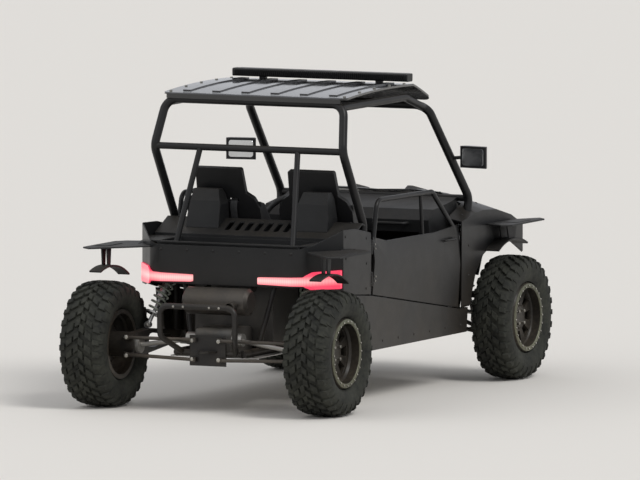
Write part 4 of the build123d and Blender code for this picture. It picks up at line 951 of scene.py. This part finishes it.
# Fender flares: shelves with a rolled lip and a shallow rib, over strips bent round the wheels on two stays
FLARE_Z, FLARE_SKIN = 0.884, 0.009
FLARE_OUT, FLARE_IN = 0.790, 0.6323
FRONT_SHELF = (
    (FLARE_IN, FRONT - 0.200), (FLARE_OUT - 0.050, FRONT - 0.240), (FLARE_OUT, FRONT - 0.190),
    (FLARE_OUT, FRONT + 0.250), (FLARE_OUT - 0.050, FRONT + 0.300), (FLARE_IN, FRONT + 0.140),
)
REAR_SHELF = (
    (0.480, REAR + 0.1645), (0.730, REAR - 0.110), (FLARE_OUT, REAR - 0.060), (FLARE_OUT, CORNER_Y),
    (FLARE_OUT - 0.050, CORNER_Y + 0.060), (BODY_HALF + FIT, CORNER_Y + 0.100), (BODY_HALF + FIT, CORNER_Y),
    (BODY_HALF, CORNER_Y - 0.0005),
)

# flare: shelf outline, hub y, strip radius, strip behind and ahead of the hub, strip inner and outer x,
# rib middle y, half widths of the stays at their foot and top
FLARES = (
    (FRONT_SHELF, FRONT, 0.440, 0.210, 0.180, FLARE_IN, 0.718, FRONT + 0.030, 0.040, 0.070),
    (REAR_SHELF, REAR, 0.430, 0.140, 0.225, 0.640, 0.712, REAR + 0.130, 0.016, 0.026),
)
STRIP_STEPS = 28
points, faces = form = [], []
for shelf, hub_y, radius, behind, ahead, x0, x1, rib_y, foot, top in FLARES:
    turn = 1 if sum(a[0] * b[1] - b[0] * a[1] for a, b in zip(shelf, shelf[1:] + shelf[:1])) > 0 else -1
    add_slab(form, Z_WAY * FLARE_Z, X_WAY, Y_WAY, shelf[::turn], 0.0, FLARE_SKIN, 0.003)
    rib, rib_place = rounded_outline(0.045, 0.110, 0.030), Vector((0.722, rib_y, FLARE_Z + FLARE_SKIN))
    add_slab(form, rib_place, X_WAY, Y_WAY, rib, -0.001, 0.004, 0.004)
    first, outer = len(points), radius + FLARE_SKIN
    section = ((x0, radius), (x1 - 0.002, radius), (x1, radius + 0.003), (x1, outer), (x0, outer))
    start, end = asin(-behind / radius), asin(ahead / radius)
    for k in range(STRIP_STEPS + 1):
        a = start + (end - start) * k / STRIP_STEPS
        points.extend(Vector((x, hub_y + r * sin(a), HUB_Z + r * cos(a))) for x, r in section)
    close_rings(points, faces, first, len(section), turned=True)
    low, high = HUB_Z + outer - 0.007, FLARE_Z + 0.004
    stay = [(hub_y - foot, low), (hub_y + foot, low), (hub_y + top, high), (hub_y - top, high)]
    for x in (x0 + 0.020, x1 - 0.020):
        add_slab(form, X_WAY * (x - 0.004), Y_WAY, Z_WAY, stay, 0.0, 0.008, 0.001)
left_points, left_faces = mirrored(form)
faces += [[len(points) + k for k in face] for face in left_faces]
points += left_points
flares = piece("moulded_fender_flares", form, TRIM)
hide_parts("fender_flares")

# Moulded panels: the CAD faces with their shading run smoothly over shallow folds, and crisp at real edges

# panel: fold angle in degrees that stays crisp
MOULDED = {
    "hood": 20, "front_fenders": 20, "front_fascia": 24, "rear_fascia": 30, "door_right": 30, "door_left": 30,
}
for node, crisp in MOULDED.items():
    body = f"{node}_body" if node.startswith("door") else "buggy"
    shape = bmesh.new()
    shape.from_mesh(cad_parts[node].data)
    bmesh.ops.remove_doubles(shape, verts=shape.verts, dist=0.00002)
    form = [v.co.copy() for v in shape.verts], [[v.index for v in face.verts] for face in shape.faces]
    shape.free()
    moulding = piece(f"moulded_{node}", form, BODY, crisp, body)
    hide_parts(node)

# Doors: bolts on the hinge straps, and a pull handle near the front edge
STRAP_Y, STRAP_BOLTS = -0.488, (0.688, 0.712, 0.868, 0.892)
PULL_Z, PULL_ENDS, PULL_REACH, PULL_LEAN, PULL_RADIUS = 0.840, (0.430, 0.560), 0.020, 0.012, 0.0065
for side, hand in (("right", 1), ("left", -1)):
    door, body = f"door_{side}", f"door_{side}_body"
    form = [], []
    for z in STRAP_BOLTS:
        spot, out = at_face(door, (hand * 0.9, STRAP_Y, z), INWARD * hand)
        add_head(form, spot, out, 0.006, 0.004)
    piece(f"door_hinge_bolts_{side}", form, BOLT, 40, body)
    ends = [at_face(door, (hand * 0.9, y, PULL_Z), INWARD * hand) for y in PULL_ENDS]
    (rear, out), (front, front_out) = ends
    line = [rear - out * 0.002, rear + out * PULL_REACH + AHEAD * PULL_LEAN]
    line += [front + front_out * PULL_REACH + BACK * PULL_LEAN, front - front_out * 0.002]
    form = [], []
    add_tube(form, [mark[0] for mark in smooth_line([[p] for p in line], 6)], PULL_RADIUS, 10)
    for spot, out in ends:
        add_head(form, spot, out, 0.012, 0.003, CLIP_HEAD, 16)
    piece(f"door_pull_{side}", form, CLIP, 50, body)

# Mirror glass let into the rear face of each mirror
MIRROR_Z, MIRROR_ENDS = 1.301, (0.650, 0.792)
form = [], []
for side in (1, -1):
    inner, outer = (at_face("mirrors", (side * x, 0.0, MIRROR_Z), AHEAD)[0] for x in MIRROR_ENDS)
    pane = rounded_outline((outer - inner).length / 2, 0.048, 0.014)
    add_slab(form, (inner + outer) / 2, (outer - inner) * side, Z_WAY, pane, -0.0005, 0.0022, 0.0008)
piece("mirror_glass", form, GLASS)

# Light bar: a row of reflector bowls ahead, a bezel over and under them, and cooling fins behind
BAR_HALF, BAR_CELLS, BEZEL_RISE = 0.515, 30, 0.0195
FIN_COUNT, FIN_PITCH = 85, 0.0125
form = [], []
for k in range(BAR_CELLS):
    x = BAR_HALF * (2 * (k + 0.5) / BAR_CELLS - 1)
    add_head(form, (x, BAR_FACE - 0.001, BAR_MIDDLE), AHEAD, 0.0160, 0.006, LAMP_BOWL, 20)
piece("light_bar_cells", form, CELL)
form = [], []
bezel, fin = rounded_outline(BAR_HALF + 0.010, 0.0025, 0.0024), rounded_outline(0.0011, 0.0165, 0.001, 1)
for z in (BAR_MIDDLE - BEZEL_RISE, BAR_MIDDLE + BEZEL_RISE):
    add_slab(form, Vector((0, BAR_FACE - 0.001, z)), -X_WAY, Z_WAY, bezel, 0.0, 0.008, 0.001)
for k in range(FIN_COUNT):
    place = Vector((FIN_PITCH * (k - (FIN_COUNT - 1) / 2), BAR_REAR + 0.001, BAR_MIDDLE))
    add_slab(form, place, X_WAY, Z_WAY, fin, 0.0, 0.009, 0.0003)
piece("light_bar_fins", form, PAINT)

# Headlamps: two projector bezels on each lens
LAMP_Z, PROJECTORS = 0.806, (0.256, 0.304)
form = [], []
for side in (1, -1):
    for x in PROJECTORS:
        spot, out = at_face("headlamps", (side * x, 2.0, LAMP_Z), BACK)
        add_head(form, spot, out, 0.021, 0.004, LAMP_BOWL, 28)
piece("headlamp_projectors", form, CLEAR_LENS)


def dash_place(x, low, high):
    """A place on the dashboard, and the way up its face from there."""
    start, end = (at_face("dashboard", (x, -0.2, z), AHEAD)[0] for z in (low, high))
    return start, end - start


# Dashboard: a dark screen over the gauges, and rocker switches on the console
SWITCHES, SWITCH_PITCH = 4, 0.036
form = [], []
screen = rounded_outline(0.085, 0.026, 0.008)
spot, rise = dash_place(-SEAT_X, 0.985, 1.020)
add_slab(form, spot + rise / 2, X_WAY, rise, screen, -0.0005, 0.0025, 0.001)
piece("gauge_screen", form, SCREEN)
form = [], []
frame_outline, key_outline = rounded_outline(0.013, 0.019, 0.004), rounded_outline(0.0105, 0.009, 0.003)
for k in range(SWITCHES):
    spot, rise = dash_place(SWITCH_PITCH * (k - (SWITCHES - 1) / 2), 0.860, 0.885)
    add_slab(form, spot, X_WAY, rise, frame_outline, -0.0005, 0.006, 0.002)
    add_slab(form, spot + rise * 0.25, X_WAY, rise, key_outline, 0.005, 0.009, 0.002)
piece("dashboard_switches", form, CLIP)


def way_to(azimuth, elevation):
    """The way from the buggy to a lamp or the camera: azimuth from straight behind, towards the right."""
    a, e = radians(azimuth), radians(elevation)
    return Vector((sin(a) * cos(e), -cos(a) * cos(e), sin(e)))


# Stage: a wide pale floor under a pale world
FLOOR_REACH = 400.0
corners = [(x * FLOOR_REACH, y * FLOOR_REACH, 0) for x, y in ((-1, -1), (1, -1), (1, 1), (-1, 1))]
floor_mesh = bpy.data.meshes.new("floor")
floor_mesh.from_pydata(corners, [], [(0, 1, 2, 3)])
floor = bpy.data.objects.new("floor", floor_mesh)
scene.collection.objects.link(floor)
pale = Finish("pale_floor")
pale.set(Base_Color=(0.74, 0.71, 0.66), Roughness=0.9, Specular_IOR_Level=0.1)
floor_mesh.materials.append(pale.material)

world = bpy.data.worlds.new("soft_studio")
scene.world = world
world.use_nodes = True
background = world.node_tree.nodes["Background"]
background.inputs["Color"].default_value = (0.93, 0.95, 1.0, 1.0)
background.inputs["Strength"].default_value = 0.62

# lamp: strength, angular size, azimuth, elevation
for name, strength, size, azimuth, elevation in (("key", 1.5, 25, 70, 48), ("fill", 0.45, 60, -40, 35)):
    light = bpy.data.lights.new(name, "SUN")
    light.energy, light.angle = strength, radians(size)
    lamp = bpy.data.objects.new(name, light)
    lamp.rotation_euler = way_to(azimuth, elevation).to_track_quat("Z", "Y").to_euler()
    scene.collection.objects.link(lamp)

# Camera: far away, behind and to the right, as the photo shows the buggy
AZIMUTH, ELEVATION, DISTANCE, FRAME_WIDTH = 25, 5, 100.0, 3.6
AIM = Vector((0.0, REAR + 1.37, 0.846))
camera_data = bpy.data.cameras.new("camera")
camera = bpy.data.objects.new("camera", camera_data)
scene.collection.objects.link(camera)
scene.camera = camera
back = way_to(AZIMUTH, ELEVATION)
camera_data.lens = camera_data.sensor_width * DISTANCE / FRAME_WIDTH
camera_data.clip_start, camera_data.clip_end = 1.0, 1500.0
camera.location = AIM + back * DISTANCE
camera.rotation_euler = (-back).to_track_quat("-Z", "Y").to_euler()
scene.view_settings.view_transform = "Standard"
